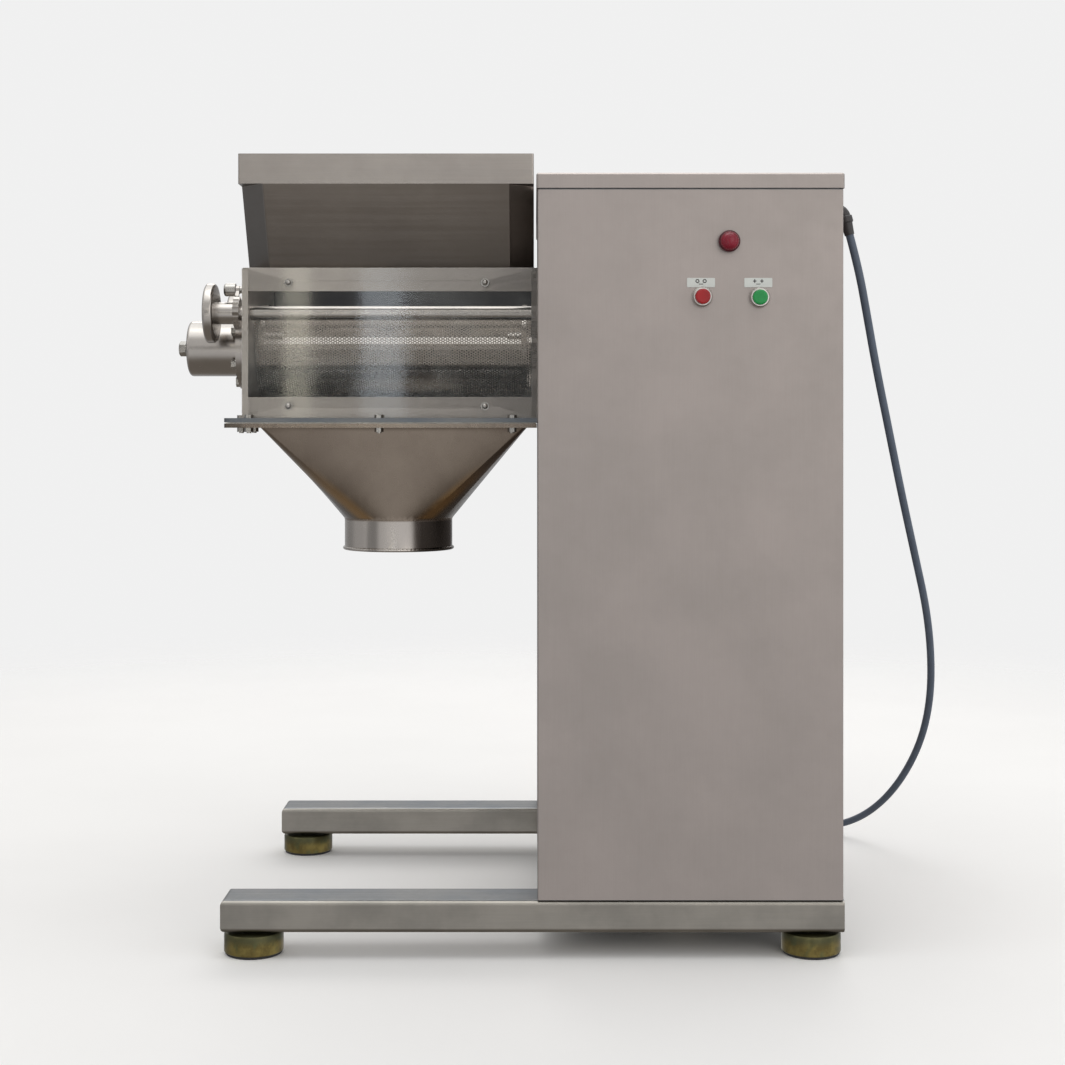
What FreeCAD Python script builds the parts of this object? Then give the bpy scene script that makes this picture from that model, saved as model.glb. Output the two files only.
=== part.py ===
import FreeCAD, Part
import math
import os

# Oscillating granulator: a drive column on a two-beam base carries an overhung
# chamber, in which a barred rotor swings to and fro and rubs damp powder through
# a curved screen.  Millimetres.  X runs from the handwheel end to the column's
# outer side, Y from the operator's side to the back, Z up from the floor.
# The origin is on the floor, under the middle of the machine.

V = FreeCAD.Vector
X_AXIS = V(1, 0, 0)
Y_AXIS = V(0, 1, 0)
Z_AXIS = V(0, 0, 1)

# ---- driving dimensions ------------------------------------------------------
BASE_LENGTH = 960.0
BASE_DEPTH = 750.0
BASE_RIGHT = 548.0          # right end of the base beams
BEAM_WIDTH = 80.0
BEAM_HEIGHT = 50.0
BEAM_WALL = 4.0
FOOT_HEIGHT = 40.0          # floor to the underside of a beam
FOOT_RADIUS = 46.0
SHEET = 2.0                 # stainless cladding

COLUMN_LEFT = 76.0
COLUMN_WIDTH = 470.0
COLUMN_TOP = 1185.0
LID_HEIGHT = 24.0
LID_OVERHANG = 2.0
LID_GAP = 2.0               # the cladding ends this far under the lid
POST = 30.0                 # square tube of the inner frame

ROTOR_HEIGHT = 955.0        # rotor axis above the floor, in the plane Y = 0
ROTOR_RADIUS = 80.0
CHAMBER_LEFT = -415.0
CHAMBER_BOTTOM = 833.0
CHAMBER_TOP = 1083.0
CHAMBER_HALF = 150.0        # half its depth
CHAMBER_WALL = 10.0         # the two end plates
WINDOW_BOTTOM = 868.0
WINDOW_TOP = 1044.0
COVER_SHEET = 5.0

FLANGE_LEFT = -442.0
FLANGE_HALF = 177.0
FLANGE_PLATE = 7.0
GASKET = 2.0
CONE_LEFT = -388.0
CONE_RIGHT = 57.0
CONE_HALF = 130.0
SPIGOT_X = -166.0
SPIGOT_RADIUS = 93.5
SPIGOT_TOP = 660.0
SPIGOT_BOTTOM = 606.0

HOPPER_LEFT = -411.0
HOPPER_RIGHT = 70.0
HOPPER_HALF = 215.0         # at the lip
HOPPER_MOUTH_HALF = 135.0   # where it meets the chamber
HOPPER_CORNER = 40.0
LIP_BOTTOM = 1214.0
HOPPER_TOP = 1263.0

CLAMP_HEIGHT = 1009.5       # screen clamp tubes
CLAMP_Y = 116.0
CLAMP_RADIUS = 12.0
SCREEN_RADIUS = 83.0        # middle of the screen sheet, round the rotor
SCREEN_SHEET = 1.0
HANDWHEEL_RADIUS = 50.0
RATCHET_RADIUS = 28.5
RATCHET_TEETH = 20

GEAR_MODULE = 4.0
PINION_TEETH = 15
PINION_RADIUS = GEAR_MODULE * PINION_TEETH / 2
RACK_TRAVEL = math.pi * PINION_RADIUS       # for half a turn of the rotor
RACK_BACKLASH = 0.25
WHEEL_TEETH = 40
WHEEL_MODULE = 5.0
WHEEL_RADIUS = WHEEL_MODULE * WHEEL_TEETH / 2
WORM_RADIUS = 27.0

CABLE_RADIUS = 6.5
RUNNING_GAP = 0.05          # radial clearance of a shaft in its bore

# ---- sizes that follow -------------------------------------------------------
BASE_LEFT = BASE_RIGHT - BASE_LENGTH
FRONT = -BASE_DEPTH / 2
BACK = BASE_DEPTH / 2
BEAM_TOP = FOOT_HEIGHT + BEAM_HEIGHT
COLUMN_RIGHT = COLUMN_LEFT + COLUMN_WIDTH
CLADDING_TOP = COLUMN_TOP - LID_GAP
INNER_LEFT = COLUMN_LEFT + SHEET
INNER_RIGHT = COLUMN_RIGHT - SHEET
FLANGE_TOP = CHAMBER_BOTTOM
CONE_TOP = FLANGE_TOP - FLANGE_PLATE - GASKET
CONE_SHEET_TOP = CONE_TOP - FLANGE_PLATE


# ---- helpers -----------------------------------------------------------------
def box(x0, x1, y0, y1, z0, z1):
    return Part.makeBox(x1 - x0, y1 - y0, z1 - z0, V(x0, y0, z0))


def rod(start, axis, radius, length):
    return Part.makeCylinder(radius, length, start, axis)


def ring(start, axis, outer, inner, length):
    return rod(start, axis, outer, length).cut(rod(start, axis, inner, length))


def hexagon(centre, axis, across_flats, length):
    """A hexagonal bar from centre along axis."""
    corner = across_flats / math.sqrt(3)
    points = [V(corner * math.cos(k * math.pi / 3), corner * math.sin(k * math.pi / 3), 0) for k in range(7)]
    bar = Part.Face(Part.makePolygon(points)).extrude(V(0, 0, length))
    return placed(bar, centre, axis)


def placed(shape, centre, axis):
    """A shape made along +Z, turned to run along axis from centre."""
    moved = shape.copy()
    moved.Placement = FreeCAD.Placement(centre, FreeCAD.Rotation(Z_AXIS, axis)).multiply(moved.Placement)
    return moved


def prism(points, travel):
    """The solid swept by a closed outline of straight edges."""
    return Part.Face(Part.makePolygon(list(points) + [points[0]])).extrude(travel)


def revolved(profile, centre, axis):
    """A solid of revolution from (radius, distance along axis) pairs."""
    points = [V(r, 0, d) for r, d in profile]
    face = Part.Face(Part.makePolygon(points + [points[0]]))
    return placed(face.revolve(V(0, 0, 0), Z_AXIS, 360), centre, axis)


def rounded(shape, radius, chosen):
    """Fillets the straight edges for which chosen(edge) is true."""
    edges = [e for e in shape.Edges if chosen(e)]
    return shape.makeFillet(radius, edges)


def along(edge, axis):
    if len(edge.Vertexes) != 2:
        return False
    a, b = (v.Point for v in edge.Vertexes)
    d = b - a
    return d.Length > 1e-6 and abs(d.dot(axis)) > 0.9999 * d.Length


def united(*shapes):
    whole = shapes[0]
    for shape in shapes[1:]:
        whole = whole.fuse(shape)
    return whole.removeSplitter()


def less(shape, *tools):
    for tool in tools:
        shape = shape.cut(tool)
    return shape


def separate(shapes):
    return Part.makeCompound(list(shapes))


def save(name, shape):
    if not shape.isValid():
        print("not valid:", name)
    shape.exportStep("parts/" + name + ".step")


# ---- base --------------------------------------------------------------------
FOOT_X = (BASE_LEFT + FOOT_RADIUS, BASE_RIGHT - FOOT_RADIUS)
FOOT_Y = (FRONT + BEAM_WIDTH / 2, BACK - BEAM_WIDTH / 2)
FOOT_PLACES = [(x, y) for y in FOOT_Y for x in FOOT_X]
PAD_HEIGHT = 4.0
CUP_TOP = 36.0
STUD_RADIUS = 8.0


def base_beams():
    beams = []
    for y in FOOT_Y:
        beam = box(BASE_LEFT, BASE_RIGHT, y - BEAM_WIDTH / 2, y + BEAM_WIDTH / 2, FOOT_HEIGHT, BEAM_TOP)
        beam = rounded(beam, 8.0, lambda e: along(e, X_AXIS) or along(e, Y_AXIS) and e.Vertexes[0].X < 0)
        hollow = box(
            BASE_LEFT + BEAM_WALL,
            BASE_RIGHT - BEAM_WALL,
            y - BEAM_WIDTH / 2 + BEAM_WALL,
            y + BEAM_WIDTH / 2 - BEAM_WALL,
            FOOT_HEIGHT + BEAM_WALL,
            BEAM_TOP - BEAM_WALL,
        )
        holes = [rod(V(x, y, 0), Z_AXIS, STUD_RADIUS + 0.5, FOOT_HEIGHT + BEAM_WALL) for x in FOOT_X]
        beams.append(less(beam, hollow, *holes))
    return beams


def base_cross_rails():
    rails = []
    for x in (COLUMN_LEFT + 25.0, COLUMN_LEFT + COLUMN_WIDTH / 2, COLUMN_RIGHT - 25.0):
        y0 = FRONT + BEAM_WIDTH
        rail = box(x - 25, x + 25, y0, -y0, BEAM_TOP - BEAM_HEIGHT + 4, BEAM_TOP - 1)
        rails.append(less(rail, box(x - 21, x + 21, y0, -y0, BEAM_TOP - BEAM_HEIGHT + 8, BEAM_TOP - 5)))
    return rails


def foot_pads():
    r = FOOT_RADIUS - 2
    profile = [(0, 0), (r - 1, 0), (r, 1), (r, PAD_HEIGHT), (0, PAD_HEIGHT)]
    return separate(revolved(profile, V(x, y, 0), Z_AXIS) for x, y in FOOT_PLACES)


def foot_cups():
    r = FOOT_RADIUS
    height = CUP_TOP - PAD_HEIGHT
    shoulder = [(r, height - 5), (r - 1.5, height - 1.5), (r - 5, height)]
    outside = [(0, 0), (r - 1, 0), (r, 1), *shoulder, (0, height)]
    cups = []
    for x, y in FOOT_PLACES:
        cup = revolved(outside, V(x, y, PAD_HEIGHT), Z_AXIS)
        cups.append(less(cup, rod(V(x, y, PAD_HEIGHT), Z_AXIS, STUD_RADIUS, height)))
    return separate(cups)


def foot_studs():
    """Each stud stands in its cup and clamps the beam's lower wall between two nuts."""
    studs = []
    for x, y in FOOT_PLACES:
        stud = rod(V(x, y, PAD_HEIGHT), Z_AXIS, STUD_RADIUS, BEAM_TOP - 8 - PAD_HEIGHT)
        lower = hexagon(V(x, y, CUP_TOP), Z_AXIS, 24, FOOT_HEIGHT - CUP_TOP)
        upper = hexagon(V(x, y, FOOT_HEIGHT + BEAM_WALL), Z_AXIS, 24, 13)
        studs.append(united(stud, lower, upper))
    return separate(studs)


# ---- column ------------------------------------------------------------------
DOOR_LEFT = COLUMN_LEFT + 40.0
DOOR_RIGHT = COLUMN_RIGHT - 40.0
DOOR_BOTTOM = 150.0
DOOR_TOP = 1120.0
DOOR_DEPTH = 14.0
DOOR_GAP = 1.0
HINGE_X = DOOR_RIGHT + 7.0
HINGE_Y = BACK + 7.0
HINGE_HEIGHTS = (260.0, 635.0, 1010.0)
LATCH_X = DOOR_LEFT + 32.0
LATCH_Z = 635.0
LATCH_BOSS = 14.0
GLAND_Y = -262.0
GLAND_Z = 1166.0
SHAFT_RADIUS = 22.0
LAMP = (370.0, 1103.0)      # X and Z of the controls on the front panel
STOP = (329.0, 1018.0)
START = (417.0, 1017.0)
LAMP_RADIUS = 16.5
BUTTON_RADIUS = 15.5
PANEL_HOLE = 11.0
GEARBOX_LEFT = INNER_LEFT
GEARBOX_RIGHT = 300.0
GEARBOX_HALF = 180.0
GEARBOX_BOTTOM = 430.0
GEARBOX_TOP = 1176.0
GEARBOX_WALL = 10.0


def column_frame():
    """Welded frame of square tube: four posts, rings at top and bottom, the gearbox shelf."""
    x0, x1 = INNER_LEFT, INNER_RIGHT
    y0, y1 = FRONT + SHEET, BACK - SHEET
    z0, z1 = BEAM_TOP, COLUMN_TOP
    solid = []
    for x in (x0, x1 - POST):
        for y in (y0, y1 - POST):
            solid.append(box(x, x + POST, y, y + POST, z0, z1))
    shelf_top = GEARBOX_BOTTOM
    for z in (z0, z1 - POST):
        for y in (y0, y1 - POST):
            solid.append(box(x0 + POST, x1 - POST, y, y + POST, z, z + POST))
    side_levels = (z0, shelf_top - POST, z1 - POST)
    for z in side_levels:
        for x in (x0, x1 - POST):
            if x == x0 and z > shelf_top:
                continue
            solid.append(box(x, x + POST, y0 + POST, y1 - POST, z, z + POST))
    for y in (-150.0, 120.0):
        solid.append(box(x0 + POST, x1 - POST, y, y + POST, shelf_top - POST, shelf_top))
    gland_room = rod(V(x1 - POST - 1, GLAND_Y, GLAND_Z), X_AXIS, 13.5, POST + 2)
    return less(united(*solid), gland_room)


def front_panel():
    panel = box(COLUMN_LEFT, COLUMN_RIGHT, FRONT, FRONT + SHEET, BEAM_TOP + 1, CLADDING_TOP)
    panel = rounded(panel, SHEET - 0.1, lambda e: along(e, Z_AXIS) and e.Vertexes[0].Y < FRONT + 1)
    holes = [rod(V(x, FRONT - 1, z), Y_AXIS, PANEL_HOLE, SHEET + 2) for x, z in (LAMP, STOP, START)]
    return less(panel, *holes)


def left_panel():
    panel = box(COLUMN_LEFT, INNER_LEFT, FRONT + SHEET, BACK - SHEET, BEAM_TOP + 1, CLADDING_TOP)
    return less(panel, rod(V(COLUMN_LEFT - 1, 0, ROTOR_HEIGHT), X_AXIS, SHAFT_RADIUS + 4, SHEET + 2))


def right_panel():
    panel = box(INNER_RIGHT, COLUMN_RIGHT, FRONT + SHEET, BACK - SHEET, BEAM_TOP + 1, CLADDING_TOP)
    cuts = [rod(V(INNER_RIGHT - 1, GLAND_Y, GLAND_Z), X_AXIS, 8.0, SHEET + 2)]
    for row in range(6):
        z = 240.0 + 22.0 * row
        cuts.append(box(INNER_RIGHT - 1, COLUMN_RIGHT + 1, -60, 60, z, z + 6))
    return less(panel, *cuts)


def rear_panel():
    panel = box(COLUMN_LEFT, COLUMN_RIGHT, BACK - SHEET, BACK, BEAM_TOP + 1, CLADDING_TOP)
    panel = rounded(panel, SHEET - 0.1, lambda e: along(e, Z_AXIS) and e.Vertexes[0].Y > BACK - 1)
    y0, y1 = BACK - SHEET - 1, BACK + 1
    opening = box(DOOR_LEFT + 20, DOOR_RIGHT - 20, y0, y1, DOOR_BOTTOM + 20, DOOR_TOP - 20)
    return less(panel, opening)


def top_lid():
    lid = box(
        COLUMN_LEFT - LID_OVERHANG,
        COLUMN_RIGHT + LID_OVERHANG,
        FRONT - LID_OVERHANG,
        BACK + LID_OVERHANG,
        COLUMN_TOP,
        COLUMN_TOP + LID_HEIGHT,
    )
    upper = COLUMN_TOP + LID_HEIGHT
    lid = rounded(lid, 4.0, lambda e: along(e, Z_AXIS) or min(v.Z for v in e.Vertexes) > upper - 1)
    hollow = box(
        COLUMN_LEFT - LID_OVERHANG + SHEET + 2,
        COLUMN_RIGHT + LID_OVERHANG - SHEET - 2,
        FRONT - LID_OVERHANG + SHEET + 2,
        BACK + LID_OVERHANG - SHEET - 2,
        COLUMN_TOP,
        upper - SHEET - 2,
    )
    return less(lid, hollow)


def rear_door():
    y0, y1 = BACK + DOOR_GAP, BACK + DOOR_DEPTH
    door = box(DOOR_LEFT, DOOR_RIGHT, y0, y1, DOOR_BOTTOM, DOOR_TOP)
    door = rounded(door, 3.0, lambda e: along(e, Z_AXIS) and e.Vertexes[0].Y > y1 - 0.5)
    inner = box(
        DOOR_LEFT + SHEET,
        DOOR_RIGHT - SHEET,
        y0,
        y1 - SHEET,
        DOOR_BOTTOM + SHEET,
        DOOR_TOP - SHEET,
    )
    door = less(door, inner)
    for bottom in (200.0, 930.0):
        for row in range(6):
            z = bottom + 22.0 * row
            slot = box(DOOR_LEFT + 100, DOOR_RIGHT - 100, y1 - SHEET - 1, y1 + 1, z, z + 5)
            door = less(door, slot)
    door = less(door, rod(V(LATCH_X, y0, LATCH_Z), Y_AXIS, 9.0 + RUNNING_GAP, DOOR_DEPTH))
    for z in HINGE_HEIGHTS:
        leaf = box(DOOR_RIGHT - 0.5, HINGE_X, HINGE_Y - 1.5, HINGE_Y + 1.5, z, z + 28)
        knuckle = rod(V(HINGE_X, HINGE_Y, z), Z_AXIS, 6.0, 28)
        door = united(door, leaf, knuckle)
        door = less(door, rod(V(HINGE_X, HINGE_Y, z), Z_AXIS, 3.0 + RUNNING_GAP, 28))
    return door


def door_hinges():
    """The fixed halves: a plate on the wall, the lower knuckle and the pin."""
    hinges = []
    for z in HINGE_HEIGHTS:
        plate = box(HINGE_X - 6, HINGE_X + 24, BACK, BACK + 3, z - 30, z - 1)
        web = box(HINGE_X - 3, HINGE_X + 3, BACK + 1, HINGE_Y, z - 30, z - 1)
        knuckle = rod(V(HINGE_X, HINGE_Y, z - 30), Z_AXIS, 6.0, 29)
        pin = rod(V(HINGE_X, HINGE_Y, z - 30), Z_AXIS, 3.0, 57)
        hinges.append(united(plate, web, knuckle, pin))
    return separate(hinges)


def door_latch():
    """A quarter-turn latch: a wing knob outside, and a tongue that is upright when unlocked."""
    y1 = BACK + DOOR_DEPTH
    shank = rod(V(LATCH_X, BACK - 16, LATCH_Z), Y_AXIS, 9.0, y1 - BACK + 16)
    head = rod(V(LATCH_X, y1 + 0.3, LATCH_Z), Y_AXIS, 17.0, 4)
    neck = rod(V(LATCH_X, y1 - 1, LATCH_Z), Y_AXIS, 9.0, 3)
    wing = box(LATCH_X - 5, LATCH_X + 5, y1 + 3, y1 + 11, LATCH_Z - 16, LATCH_Z + 16)
    wing = rounded(wing, 2.5, lambda e: along(e, Z_AXIS))
    tongue = box(LATCH_X - 9, LATCH_X + 9, BACK - 16, BACK - 12, LATCH_Z - 9, LATCH_Z + 34)
    return united(shank, head, neck, wing, tongue)


# ---- controls ----------------------------------------------------------------
BUTTON_TRAVEL = 4.0


def bezel(x, z, radius, proud, bore):
    profile = [
        (bore, -proud),
        (radius - 2.5, -proud),
        (radius, -proud + 3),
        (radius, 0),
        (PANEL_HOLE - 0.1, 0),
        (PANEL_HOLE - 0.1, 12),
        (bore, 12),
    ]
    body = revolved(profile, V(x, FRONT, z), Y_AXIS)
    nut = ring(V(x, FRONT + SHEET, z), Y_AXIS, 15.0, PANEL_HOLE - 0.1, 5)
    return united(body, nut)


def pilot_lamp_bezel():
    return bezel(LAMP[0], LAMP[1], LAMP_RADIUS, 12.0, 9.0)


def pilot_lamp_lens():
    """A domed lens with a shank in the bezel."""
    x, z = LAMP
    dome = [(0, -25), (5, -24.4), (9.5, -22.4), (12.6, -19), (14.2, -14)]
    profile = [*dome, (14.2, -12), (8.9, -12), (8.9, 4), (0, 4)]
    return revolved(profile, V(x, FRONT, z), Y_AXIS)


def button_cap(x, z, proud):
    profile = [
        (0, -proud),
        (9.4, -proud),
        (11.2, -proud + 1.2),
        (11.6, -proud + 2.5),
        (11.6, -7.6),
        (8.9, -7.6),
        (8.9, 17),
        (0, 17),
    ]
    return revolved(profile, V(x, FRONT, z), Y_AXIS)


def button_bezel(x, z):
    """A bright ring with a pocket that the cap's skirt sinks into."""
    pocket = 12.0
    profile = [
        (pocket, -9),
        (BUTTON_RADIUS - 2, -9),
        (BUTTON_RADIUS, -6),
        (BUTTON_RADIUS, 0),
        (PANEL_HOLE - 0.1, 0),
        (PANEL_HOLE - 0.1, 12),
        (8.95, 12),
        (8.95, -3),
        (pocket, -3),
    ]
    body = revolved(profile, V(x, FRONT, z), Y_AXIS)
    nut = ring(V(x, FRONT + SHEET, z), Y_AXIS, 15.0, PANEL_HOLE - 0.1, 5)
    return united(body, nut)


def legend_plates():
    plates = []
    for x, z in (STOP, START):
        middle = (x - 2, 1038.7)
        plate = box(middle[0] - 21.5, middle[0] + 21.5, FRONT - 1, FRONT, middle[1] - 6, middle[1] + 8.3)
        plate = rounded(plate, 1.5, lambda e: along(e, Y_AXIS))
        plates.append(less(plate, rod(V(x, FRONT - 2, z), Y_AXIS, BUTTON_RADIUS + 0.4, 3)))
    return separate(plates)


def contact_blocks():
    blocks = []
    for x, z in (LAMP, STOP, START):
        y0 = FRONT + 12 + 10
        block = box(x - 14, x + 14, y0, y0 + 34, z - 20, z + 20)
        clip = ring(V(x, FRONT + 12, z), Y_AXIS, 14.0, 9.6, 10.5)
        blocks.append(united(block, clip))
    return separate(blocks)


def contactor_panel():
    """Mounting plate on the right wall with contactor, overload relay and terminals."""
    x1 = INNER_RIGHT
    plate = box(x1 - 3, x1, -335, -130, 820, 1090)
    rail = box(x1 - 11, x1 - 3, -325, -140, 1000, 1035)
    contactor = box(x1 - 84, x1 - 11, -318, -270, 975, 1060)
    relay = box(x1 - 84, x1 - 11, -318, -270, 905, 974)
    relay_foot = box(x1 - 11, x1 - 3, -318, -270, 905, 940)
    transformer = box(x1 - 84, x1 - 11, -255, -185, 980, 1055)
    terminals = [box(x1 - 45, x1 - 3, -320 + 12 * k, -309 + 12 * k, 840, 885) for k in range(10)]
    return united(plate, rail, contactor, relay, relay_foot, transformer, *terminals)


# ---- power cable -------------------------------------------------------------
# Route: out of the elbow gland, down beside the column with a slight outward bow,
# back under its own weight, along the floor behind the column and into the coil.
GLAND_LEAN = math.radians(15)
GLAND_BEND = 16.0
GLAND_REACH = 6.0           # straight neck before the bend
RELIEF_LENGTH = 30.0
BEND_END = V(
    COLUMN_RIGHT + GLAND_REACH + GLAND_BEND * math.cos(GLAND_LEAN),
    GLAND_Y,
    GLAND_Z - GLAND_BEND * (1 - math.sin(GLAND_LEAN)),
)
GLAND_OUT = V(math.sin(GLAND_LEAN), 0, -math.cos(GLAND_LEAN))
CABLE_EXIT = BEND_END + GLAND_OUT * RELIEF_LENGTH
COIL_CENTRE = V(402.0, 492.0, 0)
COIL_RADIUS = 68.0          # centreline of the inner turns
TURN_PITCH = 13.2           # from one turn to the next, sideways and upwards
COIL_ENTRY_Y = COIL_CENTRE.y + COIL_RADIUS + TURN_PITCH
ROUTE = [
    CABLE_EXIT,
    CABLE_EXIT + GLAND_OUT * 55.0,
    V(606, -244, 1000),
    V(626, -218, 915),
    V(652, -184, 820),
    V(683, -138, 710),
    V(718, -82, 600),
    V(752, -20, 500),
    V(775, 48, 405),
    V(787, 115, 320),
    V(786, 182, 240),
    V(770, 250, 165),
    V(746, 325, 100),
    V(714, 405, 48),
    V(668, 478, 14),
    V(606, 530, 6.6),
    V(541, 559, 6.6),
    V(480, 570, 6.6),
    V(COIL_CENTRE.x + 30, COIL_ENTRY_Y, 6.6),
]


def rounded_path(points):
    """Straight runs joined by tangent arcs as large as the runs allow."""
    edges = []
    radii = []
    here = points[0]
    for a, b, c in zip(points, points[1:], points[2:]):
        into = (b - a).normalize()
        out = (c - b).normalize()
        turn = into.getAngle(out)
        reach = 0.45 * min((b - a).Length, (c - b).Length)
        radii.append(reach / math.tan(turn / 2))
        start = b - into * reach
        end = b + out * reach
        toward = (out - into).normalize()
        middle = b + toward * (radii[-1] / math.cos(turn / 2) - radii[-1])
        edges.append(Part.LineSegment(here, start).toShape())
        edges.append(Part.Arc(start, middle, end).toShape())
        here = end
    edges.append(Part.LineSegment(here, points[-1]).toShape())
    return Part.Wire(edges), radii


def power_cable():
    path, radii = rounded_path(ROUTE)
    start = ROUTE[0]
    section = Part.Wire(Part.Circle(start, (ROUTE[1] - start).normalize(), CABLE_RADIUS).toShape())
    tube = path.makePipeShell([section], True, True)
    expected = math.pi * CABLE_RADIUS**2 * path.Length
    print("cable tube radii:", [round(r) for r in radii])
    print("cable length %.0f, volume %.4f of section times length" % (path.Length, tube.Volume / expected))
    return tube


def cable_coil():
    """The outer shape of the neat coil, two turns wide and two high, and the lead's last
    stretch from its upper outer turn to the plug.  The lead presses into the coil's side."""
    inner = COIL_RADIUS - TURN_PITCH / 2
    outer = COIL_RADIUS + 1.5 * TURN_PITCH
    profile = [(inner, 0), (outer, 0), (outer, 2 * TURN_PITCH), (inner, 2 * TURN_PITCH)]
    tail_start = V(COIL_CENTRE.x - 10, COIL_ENTRY_Y, 1.5 * TURN_PITCH)
    tail = PLUG_START - tail_start
    return united(revolved(profile, COIL_CENTRE, Z_AXIS), rod(tail_start, tail, CABLE_RADIUS, tail.Length))


def cable_gland():
    """An elbow gland: locknut and hex outside the wall, a bend, a dome nut and a tapered sleeve."""
    wall = V(COLUMN_RIGHT, GLAND_Y, GLAND_Z)
    hexa = hexagon(wall, X_AXIS, 25, GLAND_REACH)
    thread = rod(V(INNER_RIGHT - 9, GLAND_Y, GLAND_Z), X_AXIS, 7.9, SHEET + 9)
    locknut = hexagon(V(INNER_RIGHT - 5, GLAND_Y, GLAND_Z), X_AXIS, 22, 5)
    turn_centre = V(COLUMN_RIGHT + GLAND_REACH, GLAND_Y, GLAND_Z - GLAND_BEND)
    turn = math.pi / 2 - GLAND_LEAN
    start = V(turn_centre.x, GLAND_Y, GLAND_Z)
    half = turn_centre + V(math.sin(turn / 2), 0, math.cos(turn / 2)) * GLAND_BEND
    path = Part.Wire([Part.Arc(start, half, BEND_END).toShape()])
    section = Part.Wire(Part.Circle(start, X_AXIS, 9.5).toShape())
    bend = path.makePipeShell([section], True, True)
    nut_profile = [(0, 0), (10.5, 0), (11.5, 1), (11.5, 10), (10, 12), (0, 12)]
    nut = revolved(nut_profile, BEND_END - GLAND_OUT * 1.0, GLAND_OUT)
    taper = [(0, 11), (9.5, 11), (CABLE_RADIUS + 1.2, RELIEF_LENGTH), (0, RELIEF_LENGTH)]
    sleeve = revolved(taper, BEND_END, GLAND_OUT)
    return united(hexa, thread, locknut, bend, nut, sleeve)


PLUG_AXIS = V(-1, 0, 0)
PLUG_RADIUS = 29.0
PLUG_START = V(COIL_CENTRE.x - 80, COIL_ENTRY_Y + 3, PLUG_RADIUS)


def power_plug():
    """A round five-pin industrial plug lying beside the coil."""
    outside = [
        (CABLE_RADIUS, 0),
        (14, 0),
        (17, 6),
        (17, 22),
        (22, 28),
        (26, 46),
        (26, 74),
        (PLUG_RADIUS, 76),
        (PLUG_RADIUS, 84),
        (26.5, 86),
        (26.5, 128),
        (23.5, 128),
        (23.5, 88),
        (0, 88),
        (0, 24),
        (CABLE_RADIUS, 24),
    ]
    body = revolved(outside, PLUG_START, PLUG_AXIS)
    pins = []
    for k in range(5):
        turn = 2 * math.pi * k / 5
        at = PLUG_START + V(-88, 14 * math.cos(turn), 14 * math.sin(turn))
        pins.append(rod(at, PLUG_AXIS, 2.5, 34))
    return united(body, *pins)


# ---- chamber -----------------------------------------------------------------
COVER_FRONT = -CHAMBER_HALF - COVER_SHEET
NUT_X = (-337.0, -11.0)
NUT_Z = (853.0, 1058.0)
END_LEFT = CHAMBER_LEFT + CHAMBER_WALL
END_RIGHT = COLUMN_LEFT - CHAMBER_WALL
BEARING_BORE = 40.0
FLANGE_BOLT_X = (-401.0, -186.0, 34.0)
FLANGE_BOLT_Y = (-FLANGE_HALF + 12.0, FLANGE_HALF - 12.0)
SIDE_BOLT_X = FLANGE_LEFT + 13.0
SIDE_BOLT_Y = (-70.0, 70.0)
BOLT_PLACES = [(x, y) for x in FLANGE_BOLT_X for y in FLANGE_BOLT_Y]
BOLT_PLACES += [(SIDE_BOLT_X, y) for y in SIDE_BOLT_Y]
BOLT_RADIUS = 4.0
HOUSING_BOLT_CIRCLE = 57.5


def chamber_end_plates():
    """Both ends, with the shaft bores and the screen clamps' bearings; the left one is bolted
    with the bearing housing, the right one to the column."""

    def is_top_left(edge):
        reach = edge.BoundBox
        return reach.XMax < CHAMBER_LEFT + 0.1 and reach.ZMin > CHAMBER_TOP - 0.1

    plates = []
    for x0, bore in ((CHAMBER_LEFT, BEARING_BORE), (END_RIGHT, 34.0)):
        plate = box(x0, x0 + CHAMBER_WALL, -CHAMBER_HALF, CHAMBER_HALF, CHAMBER_BOTTOM, CHAMBER_TOP)
        if x0 == CHAMBER_LEFT:
            plate = rounded(plate, 3.5, is_top_left)
        cuts = [rod(V(x0, 0, ROTOR_HEIGHT), X_AXIS, bore, CHAMBER_WALL)]
        for y in (-CLAMP_Y, CLAMP_Y):
            cuts.append(rod(V(x0, y, CLAMP_HEIGHT), X_AXIS, CLAMP_RADIUS + RUNNING_GAP, CHAMBER_WALL))
        plates.append(less(plate, *cuts))
    return separate(plates)


def chamber_front_frame():
    """Bands above and below the window; the upper one is folded back to carry the hopper."""
    y0, y1 = -CHAMBER_HALF, -CHAMBER_HALF + 4
    lower = box(END_LEFT, END_RIGHT, y0, y1, CHAMBER_BOTTOM, WINDOW_BOTTOM)
    upper = box(END_LEFT, END_RIGHT, y0, y1, WINDOW_TOP, CHAMBER_TOP)
    fold = box(END_LEFT, END_RIGHT, y0, -HOPPER_MOUTH_HALF + SHEET, CHAMBER_TOP - 3, CHAMBER_TOP)
    return separate([lower, united(upper, fold)])


def chamber_rear_wall():
    y1 = CHAMBER_HALF
    wall = box(END_LEFT, END_RIGHT, y1 - 4, y1, CHAMBER_BOTTOM, CHAMBER_TOP)
    fold = box(END_LEFT, END_RIGHT, HOPPER_MOUTH_HALF - SHEET, y1, CHAMBER_TOP - 3, CHAMBER_TOP)
    return united(wall, fold)


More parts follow.
